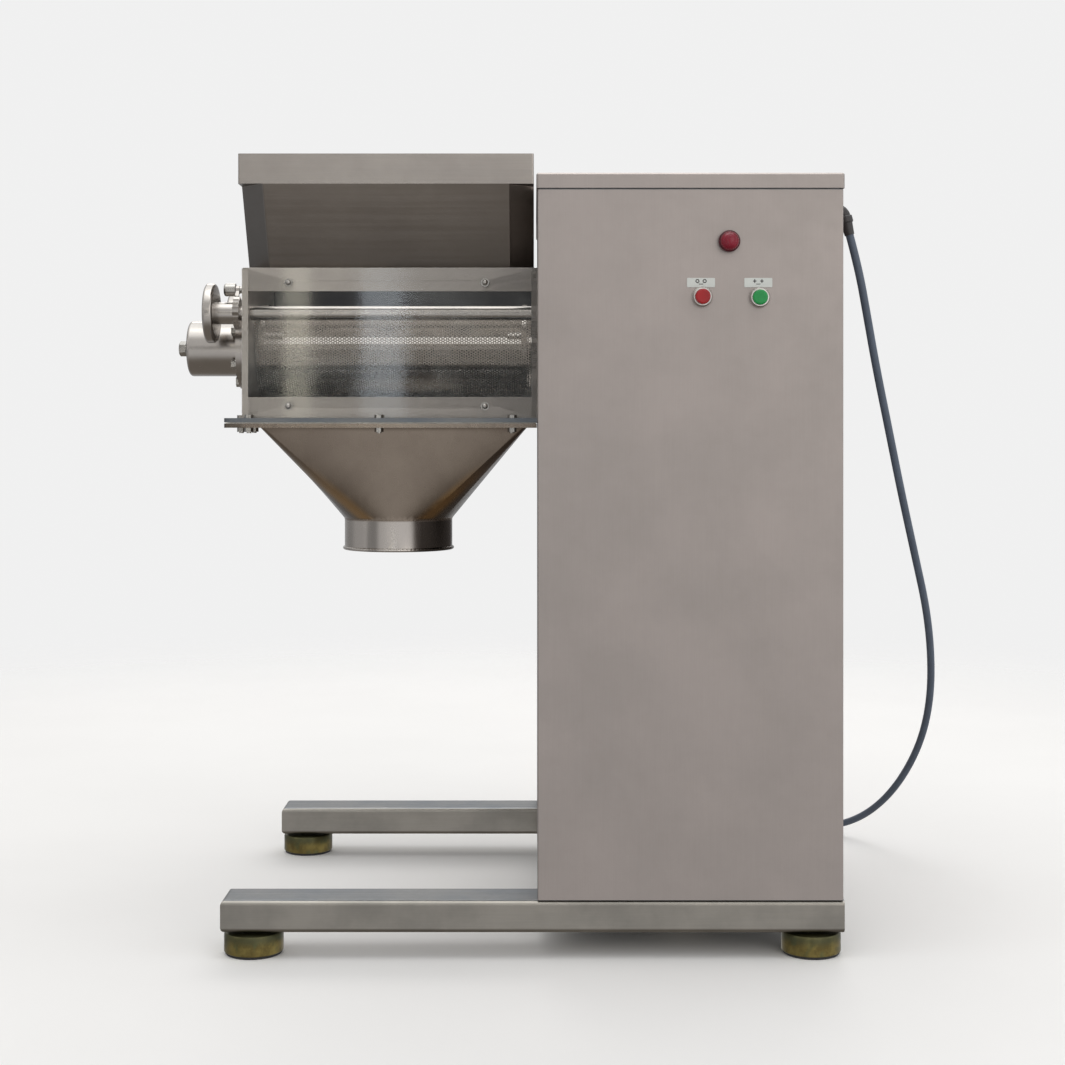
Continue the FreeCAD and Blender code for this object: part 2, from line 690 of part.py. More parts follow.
def chamber_flange():
    """The upper plate of the flange pair, welded under the chamber."""
    plate = box(FLANGE_LEFT, COLUMN_LEFT, -FLANGE_HALF, FLANGE_HALF, FLANGE_TOP - FLANGE_PLATE, FLANGE_TOP)
    plate = rounded(plate, 12.0, lambda e: along(e, Z_AXIS) and e.Vertexes[0].X < 0)
    half = CONE_HALF - 3
    opening = box(CONE_LEFT + 3, CONE_RIGHT - 3, -half, half, FLANGE_TOP - 20, FLANGE_TOP + 1)
    return less(plate, opening, *bolt_holes(FLANGE_TOP - FLANGE_PLATE, FLANGE_PLATE))


def bolt_holes(z, height):
    return [rod(V(x, y, z), Z_AXIS, BOLT_RADIUS + 0.5, height) for x, y in BOLT_PLACES]


def flange_gasket():
    z0 = CONE_TOP
    sheet = box(FLANGE_LEFT + 3, COLUMN_LEFT - 2, -FLANGE_HALF + 3, FLANGE_HALF - 3, z0, z0 + GASKET)
    opening = box(CONE_LEFT + 3, CONE_RIGHT - 3, -CONE_HALF + 3, CONE_HALF - 3, z0 - 1, z0 + GASKET + 1)
    return less(sheet, opening, *bolt_holes(z0, GASKET))


def flange_bolts():
    """Hex bolts through the flange pair, with a nut under each."""
    bolts = []
    bottom = CONE_TOP - FLANGE_PLATE
    for x, y in BOLT_PLACES:
        shank = rod(V(x, y, bottom - 9), Z_AXIS, BOLT_RADIUS, FLANGE_TOP - bottom + 9)
        head = hexagon(V(x, y, FLANGE_TOP), Z_AXIS, 13, 5.5)
        nut = hexagon(V(x, y, bottom - 7), Z_AXIS, 13, 7)
        bolts.append(united(shank, head, nut))
    return bolts


def window_cover():
    cover = box(CHAMBER_LEFT, COLUMN_LEFT, COVER_FRONT, -CHAMBER_HALF, CHAMBER_BOTTOM, CHAMBER_TOP)
    cover = rounded(cover, 1.0, lambda e: max(v.Y for v in e.Vertexes) < COVER_FRONT + 0.1)
    holes = [rod(V(x, COVER_FRONT, z), Y_AXIS, 3.2, COVER_SHEET) for x in NUT_X for z in NUT_Z]
    return less(cover, *holes)


def window_nuts():
    """Dome nuts on studs that hold the clear cover."""
    nuts = []
    for x in NUT_X:
        for z in NUT_Z:
            washer = ring(V(x, COVER_FRONT - 1, z), Y_AXIS, 7.0, 2.9, 1)
            nut = hexagon(V(x, COVER_FRONT - 5, z), Y_AXIS, 10, 4)
            outline = [(0, -9), (2.4, -8.5), (4.2, -7), (4.9, -5), (0, -5)]
            dome = revolved(outline, V(x, COVER_FRONT, z), Y_AXIS)
            stud = rod(V(x, COVER_FRONT - 5, z), Y_AXIS, 3.0, COVER_SHEET + 5)
            nuts.append(united(washer, nut, dome, stud))
    return separate(nuts)


def eight_corners(x0, x1, half, corner, z):
    """A rectangle with its corners cut off, seen from above."""
    points = [
        (x0 + corner, -half),
        (x1 - corner, -half),
        (x1, -half + corner),
        (x1, half - corner),
        (x1 - corner, half),
        (x0 + corner, half),
        (x0, half - corner),
        (x0, -half + corner),
    ]
    return [V(x, y, z) for x, y in points]


CORNER_INSET = 2 - math.sqrt(2)     # how much shorter a 45 degree corner's leg gets, per inset
RIM = 3.0                           # height of the folded edge round the hopper's top
LIP_CORNER = 3.0


def lip_block(inset, z0, z1):
    """The upright lip's outline, inset, between two heights."""
    half = HOPPER_HALF - inset
    block = box(HOPPER_LEFT + inset, HOPPER_RIGHT - inset, -half, half, z0, z1)
    return rounded(block, max(LIP_CORNER - inset, 0.5), lambda e: along(e, Z_AXIS))


def hopper_volume(inset):
    """The hopper's solid outer shape, or its inside when inset by the sheet. The slopes have cut corners,
    which small flat triangles close under the square lip."""
    x0, x1 = HOPPER_LEFT + inset, HOPPER_RIGHT - inset
    corner = HOPPER_CORNER - CORNER_INSET * inset
    low = eight_corners(x0, x1, HOPPER_MOUTH_HALF - inset, corner, CHAMBER_TOP)
    mid = eight_corners(x0, x1, HOPPER_HALF - inset, corner, LIP_BOTTOM)
    wires = [Part.makePolygon(p + [p[0]]) for p in (low, mid)]
    lower = Part.makeLoft(wires, True, True)
    throat = prism(mid, V(0, 0, SHEET))
    return united(lower, throat, lip_block(inset, LIP_BOTTOM + inset, HOPPER_TOP))


def hopper():
    shell = hopper_volume(0).cut(hopper_volume(SHEET))
    bottom = HOPPER_TOP - RIM
    rim = lip_block(0, bottom, HOPPER_TOP).cut(lip_block(2 * SHEET, bottom, HOPPER_TOP))
    return united(shell, rim)


def mouth_wire(inset, z):
    """The cone's upper outline: four sides and four small corner arcs, as eight edges."""
    x0, x1 = CONE_LEFT + inset, CONE_RIGHT - inset
    half = CONE_HALF - inset
    r = 6.0
    edges = []
    far = half - r
    corners = [(x1 - r, far, 0), (x0 + r, far, 90), (x0 + r, -far, 180), (x1 - r, -far, 270)]
    ends = []
    for cx, cy, a in corners:
        at = []
        for t in (a, a + 45, a + 90):
            turn = math.radians(t)
            at.append(V(cx + r * math.cos(turn), cy + r * math.sin(turn), z))
        ends.append(at)
    for k in range(4):
        here = ends[k]
        edges.append(Part.Arc(*here).toShape())
        edges.append(Part.LineSegment(here[2], ends[(k + 1) % 4][0]).toShape())
    return Part.Wire(edges)


def throat_wire(radius, z):
    """The cone's lower circle, split so that each flat of the cone ends in a short arc."""
    flat = 31.0
    edges = []
    for k in range(4):
        a0, a1 = 90 * k + flat, 90 * (k + 1) - flat
        for start, end in ((a0, a1), (a1, a1 + 2 * flat)):
            at = []
            for t in (start, (start + end) / 2, end):
                turn = math.radians(t)
                at.append(V(SPIGOT_X + radius * math.cos(turn), radius * math.sin(turn), z))
            edges.append(Part.Arc(*at).toShape())
    return Part.Wire(edges)


def cone_volume(inset):
    throat = throat_wire(SPIGOT_RADIUS - inset, SPIGOT_TOP)
    return Part.makeLoft([throat, mouth_wire(inset, CONE_SHEET_TOP)], True, True)


def discharge_cone():
    """Flange plate, square-to-round cone and spigot with a rolled bead, welded into one."""
    z0 = CONE_SHEET_TOP
    flange = box(FLANGE_LEFT, COLUMN_LEFT - 1, -FLANGE_HALF, FLANGE_HALF, z0, CONE_TOP)
    flange = rounded(flange, 12.0, lambda e: along(e, Z_AXIS) and e.Vertexes[0].X < 0)
    mouth = Part.Face(mouth_wire(SHEET, z0)).extrude(V(0, 0, FLANGE_PLATE))
    foot = V(SPIGOT_X, 0, SPIGOT_BOTTOM)
    spigot = ring(foot, Z_AXIS, SPIGOT_RADIUS, SPIGOT_RADIUS - SHEET, SPIGOT_TOP - SPIGOT_BOTTOM)
    bead = Part.makeTorus(SPIGOT_RADIUS, 3.0, V(SPIGOT_X, 0, SPIGOT_BOTTOM + 3), Z_AXIS)
    bead = less(bead, rod(V(SPIGOT_X, 0, SPIGOT_BOTTOM - 5), Z_AXIS, SPIGOT_RADIUS - SHEET, 20))
    skin = cone_volume(0).cut(cone_volume(SHEET))
    return united(less(flange, mouth, *bolt_holes(z0, FLANGE_PLATE)), skin, spigot, bead)


# ---- rotor and its bearings --------------------------------------------------
ROTOR_LEFT = -398.0
ROTOR_RIGHT = 58.0
DISC = 8.0
BAR_COUNT = 6
BEARING_LEFT = -505.0       # outer bearing in the housing
BEARING_WIDTH = 20.0
SHAFT_LEFT = -513.0
SHAFT_RIGHT = 280.0
JOURNAL = 17.5
HUB_RADIUS = 30.0
PINION_LEFT = 128.0
PINION_RIGHT = 168.0


def axis_point(x):
    return V(x, 0, ROTOR_HEIGHT)


def involute_tooth_outline():
    """One tooth of the pinion from its root circle out, centred on the Y axis, thinned for backlash."""
    module, teeth = GEAR_MODULE, PINION_TEETH
    pitch, outer, root = PINION_RADIUS, PINION_RADIUS + module, PINION_RADIUS - 1.25 * module
    pressure = math.radians(20)
    base = pitch * math.cos(pressure)
    half_tooth = (math.pi * module / 2 - RACK_BACKLASH) / 2 / pitch
    involute = math.tan(pressure) - pressure
    flank = []
    for step in range(6):
        radius = base + (outer - base) * step / 5
        roll = math.acos(min(1.0, base / radius))
        flank.append((radius, half_tooth + involute - (math.tan(roll) - roll)))
    right = [(root - 0.5, flank[0][1])] + flank
    outline = [(r, a) for r, a in right] + [(r, -a) for r, a in reversed(right)]
    return [(r * math.sin(a), r * math.cos(a)) for r, a in outline]


def pinion():
    """Fifteen teeth; one space faces the rack, which stands on the +Y side."""
    root = PINION_RADIUS - 1.25 * GEAR_MODULE
    gear = rod(axis_point(PINION_LEFT), X_AXIS, root, PINION_RIGHT - PINION_LEFT)
    outline = involute_tooth_outline()
    for k in range(PINION_TEETH):
        turn = 2 * math.pi * (k + 0.5) / PINION_TEETH
        points = []
        for across, up in outline:
            y = up * math.cos(turn) - across * math.sin(turn)
            z = up * math.sin(turn) + across * math.cos(turn)
            points.append(V(PINION_LEFT, y, ROTOR_HEIGHT + z))
        gear = gear.fuse(prism(points, V(PINION_RIGHT - PINION_LEFT, 0, 0)))
    return gear.removeSplitter()


def rotor_shaft():
    """Stepped shaft: journal, rotor seat, seal land, pinion, inner journal."""
    parts = [
        rod(axis_point(SHAFT_LEFT), X_AXIS, JOURNAL, ROTOR_LEFT - SHAFT_LEFT),
        rod(axis_point(ROTOR_LEFT), X_AXIS, SHAFT_RADIUS, PINION_LEFT - ROTOR_LEFT),
        pinion(),
        rod(axis_point(PINION_RIGHT), X_AXIS, JOURNAL, SHAFT_RIGHT - PINION_RIGHT),
    ]
    return united(*parts)


def bar_section(x, k):
    """A wedge-shaped bar: narrow rubbing edge on the outside."""
    turn = 2 * math.pi * k / BAR_COUNT
    outer = ROTOR_RADIUS
    back = [(outer - 10, -12), (outer - 30, -11), (outer - 30, 11), (outer - 10, 12)]
    corners = [*back, (outer - 0.5, 5), (outer, 0), (outer - 0.5, -5)]
    points = []
    for r, t in corners:
        y = r * math.cos(turn) - t * math.sin(turn)
        z = r * math.sin(turn) + t * math.cos(turn)
        points.append(V(x, y, ROTOR_HEIGHT + z))
    return points


def rotor_bars():
    length = ROTOR_RIGHT - ROTOR_LEFT - 2 * DISC
    return separate(prism(bar_section(ROTOR_LEFT + DISC, k), V(length, 0, 0)) for k in range(BAR_COUNT))


def rotor_end_discs():
    discs = []
    for x in (ROTOR_LEFT, ROTOR_RIGHT - DISC):
        disc = ring(axis_point(x), X_AXIS, ROTOR_RADIUS - 3, SHAFT_RADIUS, DISC)
        discs.append(disc)
    inner_hub = ring(axis_point(ROTOR_LEFT + DISC), X_AXIS, HUB_RADIUS, SHAFT_RADIUS, 26)
    outer_hub = ring(axis_point(ROTOR_RIGHT - DISC - 26), X_AXIS, HUB_RADIUS, SHAFT_RADIUS, 26)
    return separate([united(discs[0], inner_hub), united(discs[1], outer_hub)])


HOUSING_LEFT = -529.0
HOUSING_FLANGE = -440.0
HOUSING_FLANGE_RADIUS = 70.0
HOUSING_RADIUS = 48.0
BEARING_RADIUS = 36.0


def bearing_housing():
    """Flanged cap over the rotor's outer bearing."""
    x0, x1, x2 = HOUSING_LEFT, HOUSING_FLANGE, CHAMBER_LEFT
    cap = rod(axis_point(x0), X_AXIS, HOUSING_RADIUS, x1 - x0)
    cap = cap.makeFillet(6.0, [e for e in cap.Edges if abs(e.BoundBox.XMax - x0) < 0.01])
    flange = rod(axis_point(x1), X_AXIS, HOUSING_FLANGE_RADIUS, x2 - x1)
    register = rod(axis_point(x2), X_AXIS, BEARING_BORE, CHAMBER_WALL)
    body = united(cap, flange, register)
    bore = rod(axis_point(x0 + 12), X_AXIS, BEARING_RADIUS, x2 - 6 - x0 - 12)
    seal_bore = rod(axis_point(x2 - 6), X_AXIS, SHAFT_RADIUS + 3, CHAMBER_WALL + 6)
    nut_bore = rod(axis_point(x0), X_AXIS, 6.0, 12)
    holes = []
    for place in housing_bolt_places():
        holes.append(rod(V(x1, place[0], place[1]), X_AXIS, 5.0, x2 - x1))
    return less(body, bore, seal_bore, nut_bore, *holes)


def housing_bolt_places():
    places = []
    for k in range(6):
        turn = math.pi / 6 + k * math.pi / 3
        y = HOUSING_BOLT_CIRCLE * math.cos(turn)
        z = ROTOR_HEIGHT + HOUSING_BOLT_CIRCLE * math.sin(turn)
        places.append((y, z))
    return places


def housing_bolts():
    bolts = []
    for y, z in housing_bolt_places():
        shank = rod(V(HOUSING_FLANGE, y, z), X_AXIS, 4.9, CHAMBER_LEFT - HOUSING_FLANGE)
        washer = rod(V(HOUSING_FLANGE - 2, y, z), X_AXIS, 9.5, 2)
        head = hexagon(V(HOUSING_FLANGE - 9, y, z), X_AXIS, 16, 7)
        bolts.append(united(shank, washer, head))
    return bolts


def shaft_bearings():
    """Outer ball bearing in the housing and the inner one in the gearbox."""
    left = ring(axis_point(BEARING_LEFT), X_AXIS, BEARING_RADIUS, JOURNAL + RUNNING_GAP, BEARING_WIDTH)
    right = ring(axis_point(SHAFT_RIGHT - 30), X_AXIS, BEARING_RADIUS, JOURNAL + RUNNING_GAP, BEARING_WIDTH)
    seal = ring(axis_point(END_RIGHT), X_AXIS, 34.0, SHAFT_RADIUS + RUNNING_GAP, CHAMBER_WALL)
    return separate([left, right, seal])


def bearing_cap_nut():
    """A grease plug: a chamfered hexagon head that stands off the cap on its neck."""
    x0 = HOUSING_LEFT
    thread = rod(axis_point(x0), X_AXIS, 6.0, 10)
    neck = rod(axis_point(x0 - 7), X_AXIS, 5.5, 7)
    turned = revolved([(0, 0), (10.5, 0), (13.5, 2), (13.5, 12), (0, 12)], axis_point(x0 - 19), X_AXIS)
    head = hexagon(axis_point(x0 - 19), X_AXIS, 23, 12).common(turned)
    return united(thread, neck, head)


# ---- screen and its clamps ---------------------------------------------------
def screen_sheet():
    """Sheet from one clamp tube round under the rotor to the other, ending just clear of both."""
    half = SCREEN_SHEET / 2
    outer = SCREEN_RADIUS + half
    inner = SCREEN_RADIUS - half
    bottom = ROTOR_HEIGHT
    top = CLAMP_HEIGHT - 2.0
    reach = CLAMP_Y - CLAMP_RADIUS - 1.0
    length = END_RIGHT - END_LEFT - 2
    x = END_LEFT + 1

    def outline(radius, z_top, edge):
        slope = math.atan2(edge - radius, z_top - bottom)
        y, z = radius * math.cos(slope), bottom + radius * math.sin(slope) * -1
        left = [V(x, -edge, z_top), V(x, -y, z)]
        right = [V(x, y, z), V(x, edge, z_top)]
        arc = Part.Arc(left[1], V(x, 0, bottom - radius), right[0]).toShape()
        return left, arc, right

    left_o, arc_o, right_o = outline(outer, top, reach + SCREEN_SHEET)
    left_i, arc_i, right_i = outline(inner, top, reach)
    edges = [
        Part.LineSegment(left_o[0], left_o[1]).toShape(),
        arc_o,
        Part.LineSegment(right_o[0], right_o[1]).toShape(),
        Part.LineSegment(right_o[1], right_i[1]).toShape(),
        Part.LineSegment(right_i[1], right_i[0]).toShape(),
        arc_i,
        Part.LineSegment(left_i[1], left_i[0]).toShape(),
        Part.LineSegment(left_i[0], left_o[0]).toShape(),
    ]
    wire = Part.Wire(Part.__sortEdges__(edges))
    return Part.Face(wire).extrude(V(length, 0, 0))


RATCHET_LEFT = -433.0
RATCHET_WIDTH = 10.0
WHEEL_LEFT = -480.0
RIM_WIDTH = 17.0
HUB_RIGHT = -433.0


def clamp_tube(y):
    """A clamp bar right through the chamber, with its ratchet wheel outside the left plate."""
    x0, x1 = WHEEL_LEFT + 2, COLUMN_LEFT - 2
    tube = rod(V(x0 + 20, y, CLAMP_HEIGHT), X_AXIS, CLAMP_RADIUS, x1 - x0 - 20)
    spindle = rod(V(x0, y, CLAMP_HEIGHT), X_AXIS, 8.0, 20)
    root = RATCHET_RADIUS - 4.0
    ratchet = rod(V(RATCHET_LEFT, y, CLAMP_HEIGHT), X_AXIS, root, RATCHET_WIDTH)
    pitch = 2 * math.pi / RATCHET_TEETH
    for k in range(RATCHET_TEETH):
        corners = []
        for r, a in ((root - 1, k * pitch), (RATCHET_RADIUS, k * pitch), (root - 1, (k + 0.95) * pitch)):
            corners.append(V(RATCHET_LEFT, y + r * math.cos(a), CLAMP_HEIGHT + r * math.sin(a)))
        ratchet = ratchet.fuse(prism(corners, V(RATCHET_WIDTH, 0, 0)))
    return united(tube, spindle, ratchet.removeSplitter())


def handwheel(y):
    """A disc with a rounded rim, dished on its outer face, and a long hub."""
    centre = V(WHEEL_LEFT, y, CLAMP_HEIGHT)
    rim_inner = HANDWHEEL_RADIUS - 12
    rim = ring(centre, X_AXIS, HANDWHEEL_RADIUS, rim_inner, RIM_WIDTH)
    rim = rim.makeFillet(5.0, [e for e in rim.Edges if e.Length > 2 * math.pi * (HANDWHEEL_RADIUS - 1)])
    web = ring(centre + V(5, 0, 0), X_AXIS, rim_inner, 8.0, RIM_WIDTH - 5)
    hub = rod(centre, X_AXIS, 18.5, HUB_RIGHT - WHEEL_LEFT)
    hub = hub.makeFillet(2.5, [e for e in hub.Edges if abs(e.BoundBox.XMax - WHEEL_LEFT) < 0.01])
    hub = less(hub, rod(centre, X_AXIS, 8.0, 22))
    hub = less(hub, rod(centre + V(22, 0, 0), X_AXIS, CLAMP_RADIUS, HUB_RIGHT - WHEEL_LEFT - 22))
    return united(rim, web, hub)


PAWL_PIVOT_RISE = 40.0      # pawl pin above its clamp's axis
PAWL_KNOB_LEFT = -452.0


def pawl(y):
    """A finger that drops into the ratchet, on a shouldered screw in the end plate."""
    side = 1.0 if y > 0 else -1.0
    z = CLAMP_HEIGHT + PAWL_PIVOT_RISE
    x0 = RATCHET_LEFT + 1.0
    thick = 6.0
    boss = rod(V(x0, y + side * -10, z), X_AXIS, 7.0, thick)
    tip_z = CLAMP_HEIGHT + RATCHET_RADIUS + 1.0
    points = [
        V(x0, y - side * 10 - 6, z - 1),
        V(x0, y - side * 10 + 6, z - 1),
        V(x0, y - side * 2 + 1.5, tip_z),
        V(x0, y - side * 2 - 3.5, tip_z),
    ]
    finger = prism(points, V(thick, 0, 0))
    body = united(boss, finger)
    return less(body, rod(V(x0, y - side * 10, z), X_AXIS, 3.0 + RUNNING_GAP, thick))


def pawl_pins():
    """The shouldered screws the pawls turn on, each with a round knob for a head."""
    pins = []
    for y in (-CLAMP_Y, CLAMP_Y):
        side = 1.0 if y > 0 else -1.0
        at = V(PAWL_KNOB_LEFT, y - side * 10, CLAMP_HEIGHT + PAWL_PIVOT_RISE)
        head = rod(at, X_AXIS, 11.0, RATCHET_LEFT + 0.5 - at.x)
        head = head.makeFillet(4.0, [e for e in head.Edges if e.BoundBox.XMax < at.x + 0.1])
        pin = rod(at, X_AXIS, 3.0, CHAMBER_LEFT - at.x)
        behind = RATCHET_LEFT + 7.5 - at.x
        collar = ring(at + V(behind, 0, 0), X_AXIS, 6.0, 3.0, CHAMBER_LEFT - at.x - behind)
        pins.append(united(head, pin, collar))
    return separate(pins)


# ---- drive -------------------------------------------------------------------
RACK_LEFT = 130.0
RACK_RIGHT = 166.0
RACK_PITCH_Y = PINION_RADIUS
RACK_BACK = RACK_PITCH_Y + 34.0
RACK_HALF = 115.0
EYE_Y = 50.0
EYE_Z = 640.0
EYE_RADIUS = 30.0
CRANK_PIN_RADIUS = 16.0
WHEEL_Y = EYE_Y - RACK_TRAVEL       # crank radius equals the rack's half stroke
WHEEL_Z = EYE_Z
CRANK_LEFT = 184.0
CRANK_RIGHT = 202.0
CRANK_DISC_RADIUS = 114.0
WORM_WHEEL_LEFT = 214.0
WORM_WHEEL_RIGHT = 250.0
WORM_CLEARANCE = 0.6        # the wheel's tips stand just clear of the worm's thread
WORM_X = (WORM_WHEEL_LEFT + WORM_WHEEL_RIGHT) / 2
WORM_Z = WHEEL_Z - WHEEL_RADIUS - WHEEL_MODULE - WORM_RADIUS - WORM_CLEARANCE
PULLEY_Y = 236.0
PULLEY_WIDTH = 44.0
WORM_PULLEY_RADIUS = 77.0
MOTOR_PULLEY_RADIUS = 70.0
MOTOR_X = 300.0
MOTOR_Z = 278.0
GROOVE_DEPTH = 13.0
BELT_WIDTH = 16.0
BELT_HEIGHT = 11.0
BELT_GAP = 0.5


def gear_rack():
    """Toothed upper part, plain shank and the eye for the crank pin."""
    module = GEAR_MODULE
    root_y = RACK_PITCH_Y + 1.25 * module
    tip_y = RACK_PITCH_Y - module
    z_mid = ROTOR_HEIGHT
    depth = RACK_RIGHT - RACK_LEFT
    body = box(RACK_LEFT, RACK_RIGHT, root_y, RACK_BACK, EYE_Z, z_mid + RACK_HALF)
    pitch = math.pi * module
    slant = math.tan(math.radians(20))
    half_pitch_line = (pitch / 2 - RACK_BACKLASH) / 2
    half_root = half_pitch_line + (root_y - RACK_PITCH_Y) * slant
    half_tip = half_pitch_line - (RACK_PITCH_Y - tip_y) * slant
    count = int((RACK_HALF - half_root) / pitch)
    for k in range(-count, count + 1):
        z = z_mid + k * pitch
        tooth = [
            V(RACK_LEFT, root_y + 0.5, z - half_root),
            V(RACK_LEFT, root_y, z - half_root),
            V(RACK_LEFT, tip_y, z - half_tip),
            V(RACK_LEFT, tip_y, z + half_tip),
            V(RACK_LEFT, root_y, z + half_root),
            V(RACK_LEFT, root_y + 0.5, z + half_root),
        ]
        body = body.fuse(prism(tooth, V(depth, 0, 0)))
    eye = rod(V(RACK_LEFT, EYE_Y, EYE_Z), X_AXIS, EYE_RADIUS, depth)
    body = united(body, eye)
    return less(body, rod(V(RACK_LEFT, EYE_Y, EYE_Z), X_AXIS, CRANK_PIN_RADIUS + 0.1, depth))


def rack_guide():
    """Bronze-faced slide that holds the rack in mesh, bolted to the gearbox wall."""
    y0 = RACK_BACK + RUNNING_GAP
    back = box(RACK_LEFT - 12, RACK_RIGHT + 8, y0, y0 + 16, ROTOR_HEIGHT - 70, ROTOR_HEIGHT + 70)
    cheeks = []
    for x0, x1 in ((RACK_LEFT - 12, RACK_LEFT - RUNNING_GAP), (RACK_RIGHT + RUNNING_GAP, RACK_RIGHT + 8)):
        cheeks.append(box(x0, x1, RACK_PITCH_Y + 14, y0, ROTOR_HEIGHT - 70, ROTOR_HEIGHT + 70))
    z0, z1 = ROTOR_HEIGHT - 60, ROTOR_HEIGHT + 60
    foot = box(GEARBOX_LEFT + GEARBOX_WALL, RACK_LEFT - 12, y0 - 10, y0 + 16, z0, z1)
    return united(back, cheeks[0], cheeks[1], foot)


def worm_wheel():
    """Bronze rim with forty teeth, its shaft, and the crank disc with its pin."""
    centre = V(0, WHEEL_Y, WHEEL_Z)

    def at(x):
        return centre + V(x, 0, 0)

    root = WHEEL_RADIUS - 1.2 * WHEEL_MODULE
    tip = WHEEL_RADIUS + WHEEL_MODULE
    width = WORM_WHEEL_RIGHT - WORM_WHEEL_LEFT
    rim = rod(at(WORM_WHEEL_LEFT), X_AXIS, root, width)
    pitch = 2 * math.pi / WHEEL_TEETH
    for k in range(WHEEL_TEETH):
        corners = []
        for r, share in ((root - 1, -0.32), (tip, -0.14), (tip, 0.14), (root - 1, 0.32)):
            a = (k + share) * pitch
            corners.append(at(WORM_WHEEL_LEFT) + V(0, r * math.cos(a), r * math.sin(a)))
        rim = rim.fuse(prism(corners, V(width, 0, 0)))
    shaft = rod(at(CRANK_RIGHT), X_AXIS, 25.0, GEARBOX_RIGHT - 4 - CRANK_RIGHT)
    disc = rod(at(CRANK_LEFT), X_AXIS, CRANK_DISC_RADIUS, CRANK_RIGHT - CRANK_LEFT)
    hub = rod(at(CRANK_RIGHT), X_AXIS, 45.0, WORM_WHEEL_LEFT - CRANK_RIGHT)
    pin_start = RACK_RIGHT + 0.6
    pin = rod(V(pin_start, EYE_Y, EYE_Z), X_AXIS, CRANK_PIN_RADIUS, CRANK_LEFT - pin_start)
    return united(rim.removeSplitter(), shaft, disc, hub, pin)


def worm_shaft():
    """A two-start worm on a long shaft, with a collar against each bearing."""
    def at(y):
        return V(WORM_X, y, WORM_Z)

    shaft = rod(at(-GEARBOX_HALF + 4), Y_AXIS, 15.0, PULLEY_Y + PULLEY_WIDTH + 6 + GEARBOX_HALF - 4)
    core = rod(at(WHEEL_Y - 62), Y_AXIS, WORM_RADIUS - 9, 124)
    helix = Part.makeHelix(2 * math.pi * WHEEL_MODULE, 110, WORM_RADIUS - 9.5)
    profile = Part.makePolygon([
        V(WORM_RADIUS - 9.5, 0, -6.4),
        V(WORM_RADIUS, 0, -3.2),
        V(WORM_RADIUS, 0, 3.2),
        V(WORM_RADIUS - 9.5, 0, 6.4),
        V(WORM_RADIUS - 9.5, 0, -6.4),
    ])
    thread = Part.Wire(helix.Edges).makePipeShell([Part.Wire(profile.Edges)], True, True)
    second = thread.copy()
    second.rotate(V(0, 0, 0), Z_AXIS, 180)
    threads = [placed(t, at(WHEEL_Y - 55), Y_AXIS) for t in (thread, second)]
    collars = [rod(at(y), Y_AXIS, 22.0, 8) for y in (WHEEL_Y - 76, WHEEL_Y + 68)]
    return united(shaft, core, threads[0], threads[1], *collars)


def grooved_pulley(centre, radius, bore, hub_radius):
    """A two-groove V-belt pulley along +Y from centre."""
    root = radius - GROOVE_DEPTH
    profile = [(bore, 0), (radius, 0)]
    for k in range(2):
        middle = PULLEY_WIDTH / 2 + (k - 0.5) * 19.0
        before, after = middle - 8.6, middle + 8.6
        profile += [(radius, before), (root, before), (root, after), (radius, after)]
    hub_end = PULLEY_WIDTH + 4
    profile += [(radius, PULLEY_WIDTH), (hub_radius, PULLEY_WIDTH), (hub_radius, hub_end), (bore, hub_end)]
    pulley = revolved(profile, centre, Y_AXIS)
    for k in range(4):
        a = math.pi / 4 + k * math.pi / 2
        web = (root + bore) / 2
        at = centre + V(web * math.cos(a), -1, web * math.sin(a))
        pulley = less(pulley, rod(at, Y_AXIS, (root - bore) * 0.3, PULLEY_WIDTH + 6))
    return pulley


def worm_pulley():
    return grooved_pulley(V(WORM_X, PULLEY_Y, WORM_Z), WORM_PULLEY_RADIUS, 15.0, 30.0)


def hull_of_circles(c1, r1, c2, r2, width):
    """The band-shaped solid that wraps two circles, extruded along +Y."""
    d = V(c2.x - c1.x, 0, c2.z - c1.z)
    along_axis = math.atan2(d.z, d.x)
    lean = math.acos((r1 - r2) / d.Length)
    points = []
    for c, r in ((c1, r1), (c2, r2)):
        for side in (1, -1):
            a = along_axis + side * lean
            points.append(V(c.x + r * math.cos(a), c.y, c.z + r * math.sin(a)))
    quad = prism([points[0], points[2], points[3], points[1]], V(0, width, 0))
    return united(rod(c1, Y_AXIS, r1, width), rod(c2, Y_AXIS, r2, width), quad)


def v_belts():
    belts = []
    for k in range(2):
        y = PULLEY_Y + PULLEY_WIDTH / 2 + (k - 0.5) * 19.0 - BELT_WIDTH / 2
        c1, c2 = V(MOTOR_X, y, MOTOR_Z), V(WORM_X, y, WORM_Z)
        r1, r2 = (r - GROOVE_DEPTH + BELT_GAP for r in (MOTOR_PULLEY_RADIUS, WORM_PULLEY_RADIUS))
        outer = hull_of_circles(c1, r1 + BELT_HEIGHT, c2, r2 + BELT_HEIGHT, BELT_WIDTH)
        inner = hull_of_circles(c1, r1, c2, r2, BELT_WIDTH)
        belts.append(outer.cut(inner))
    return separate(belts)


MOTOR_FRONT = -140.0
MOTOR_BACK = 196.0
MOTOR_RADIUS = 100.0
MOTOR_FOOT_Z = 146.0


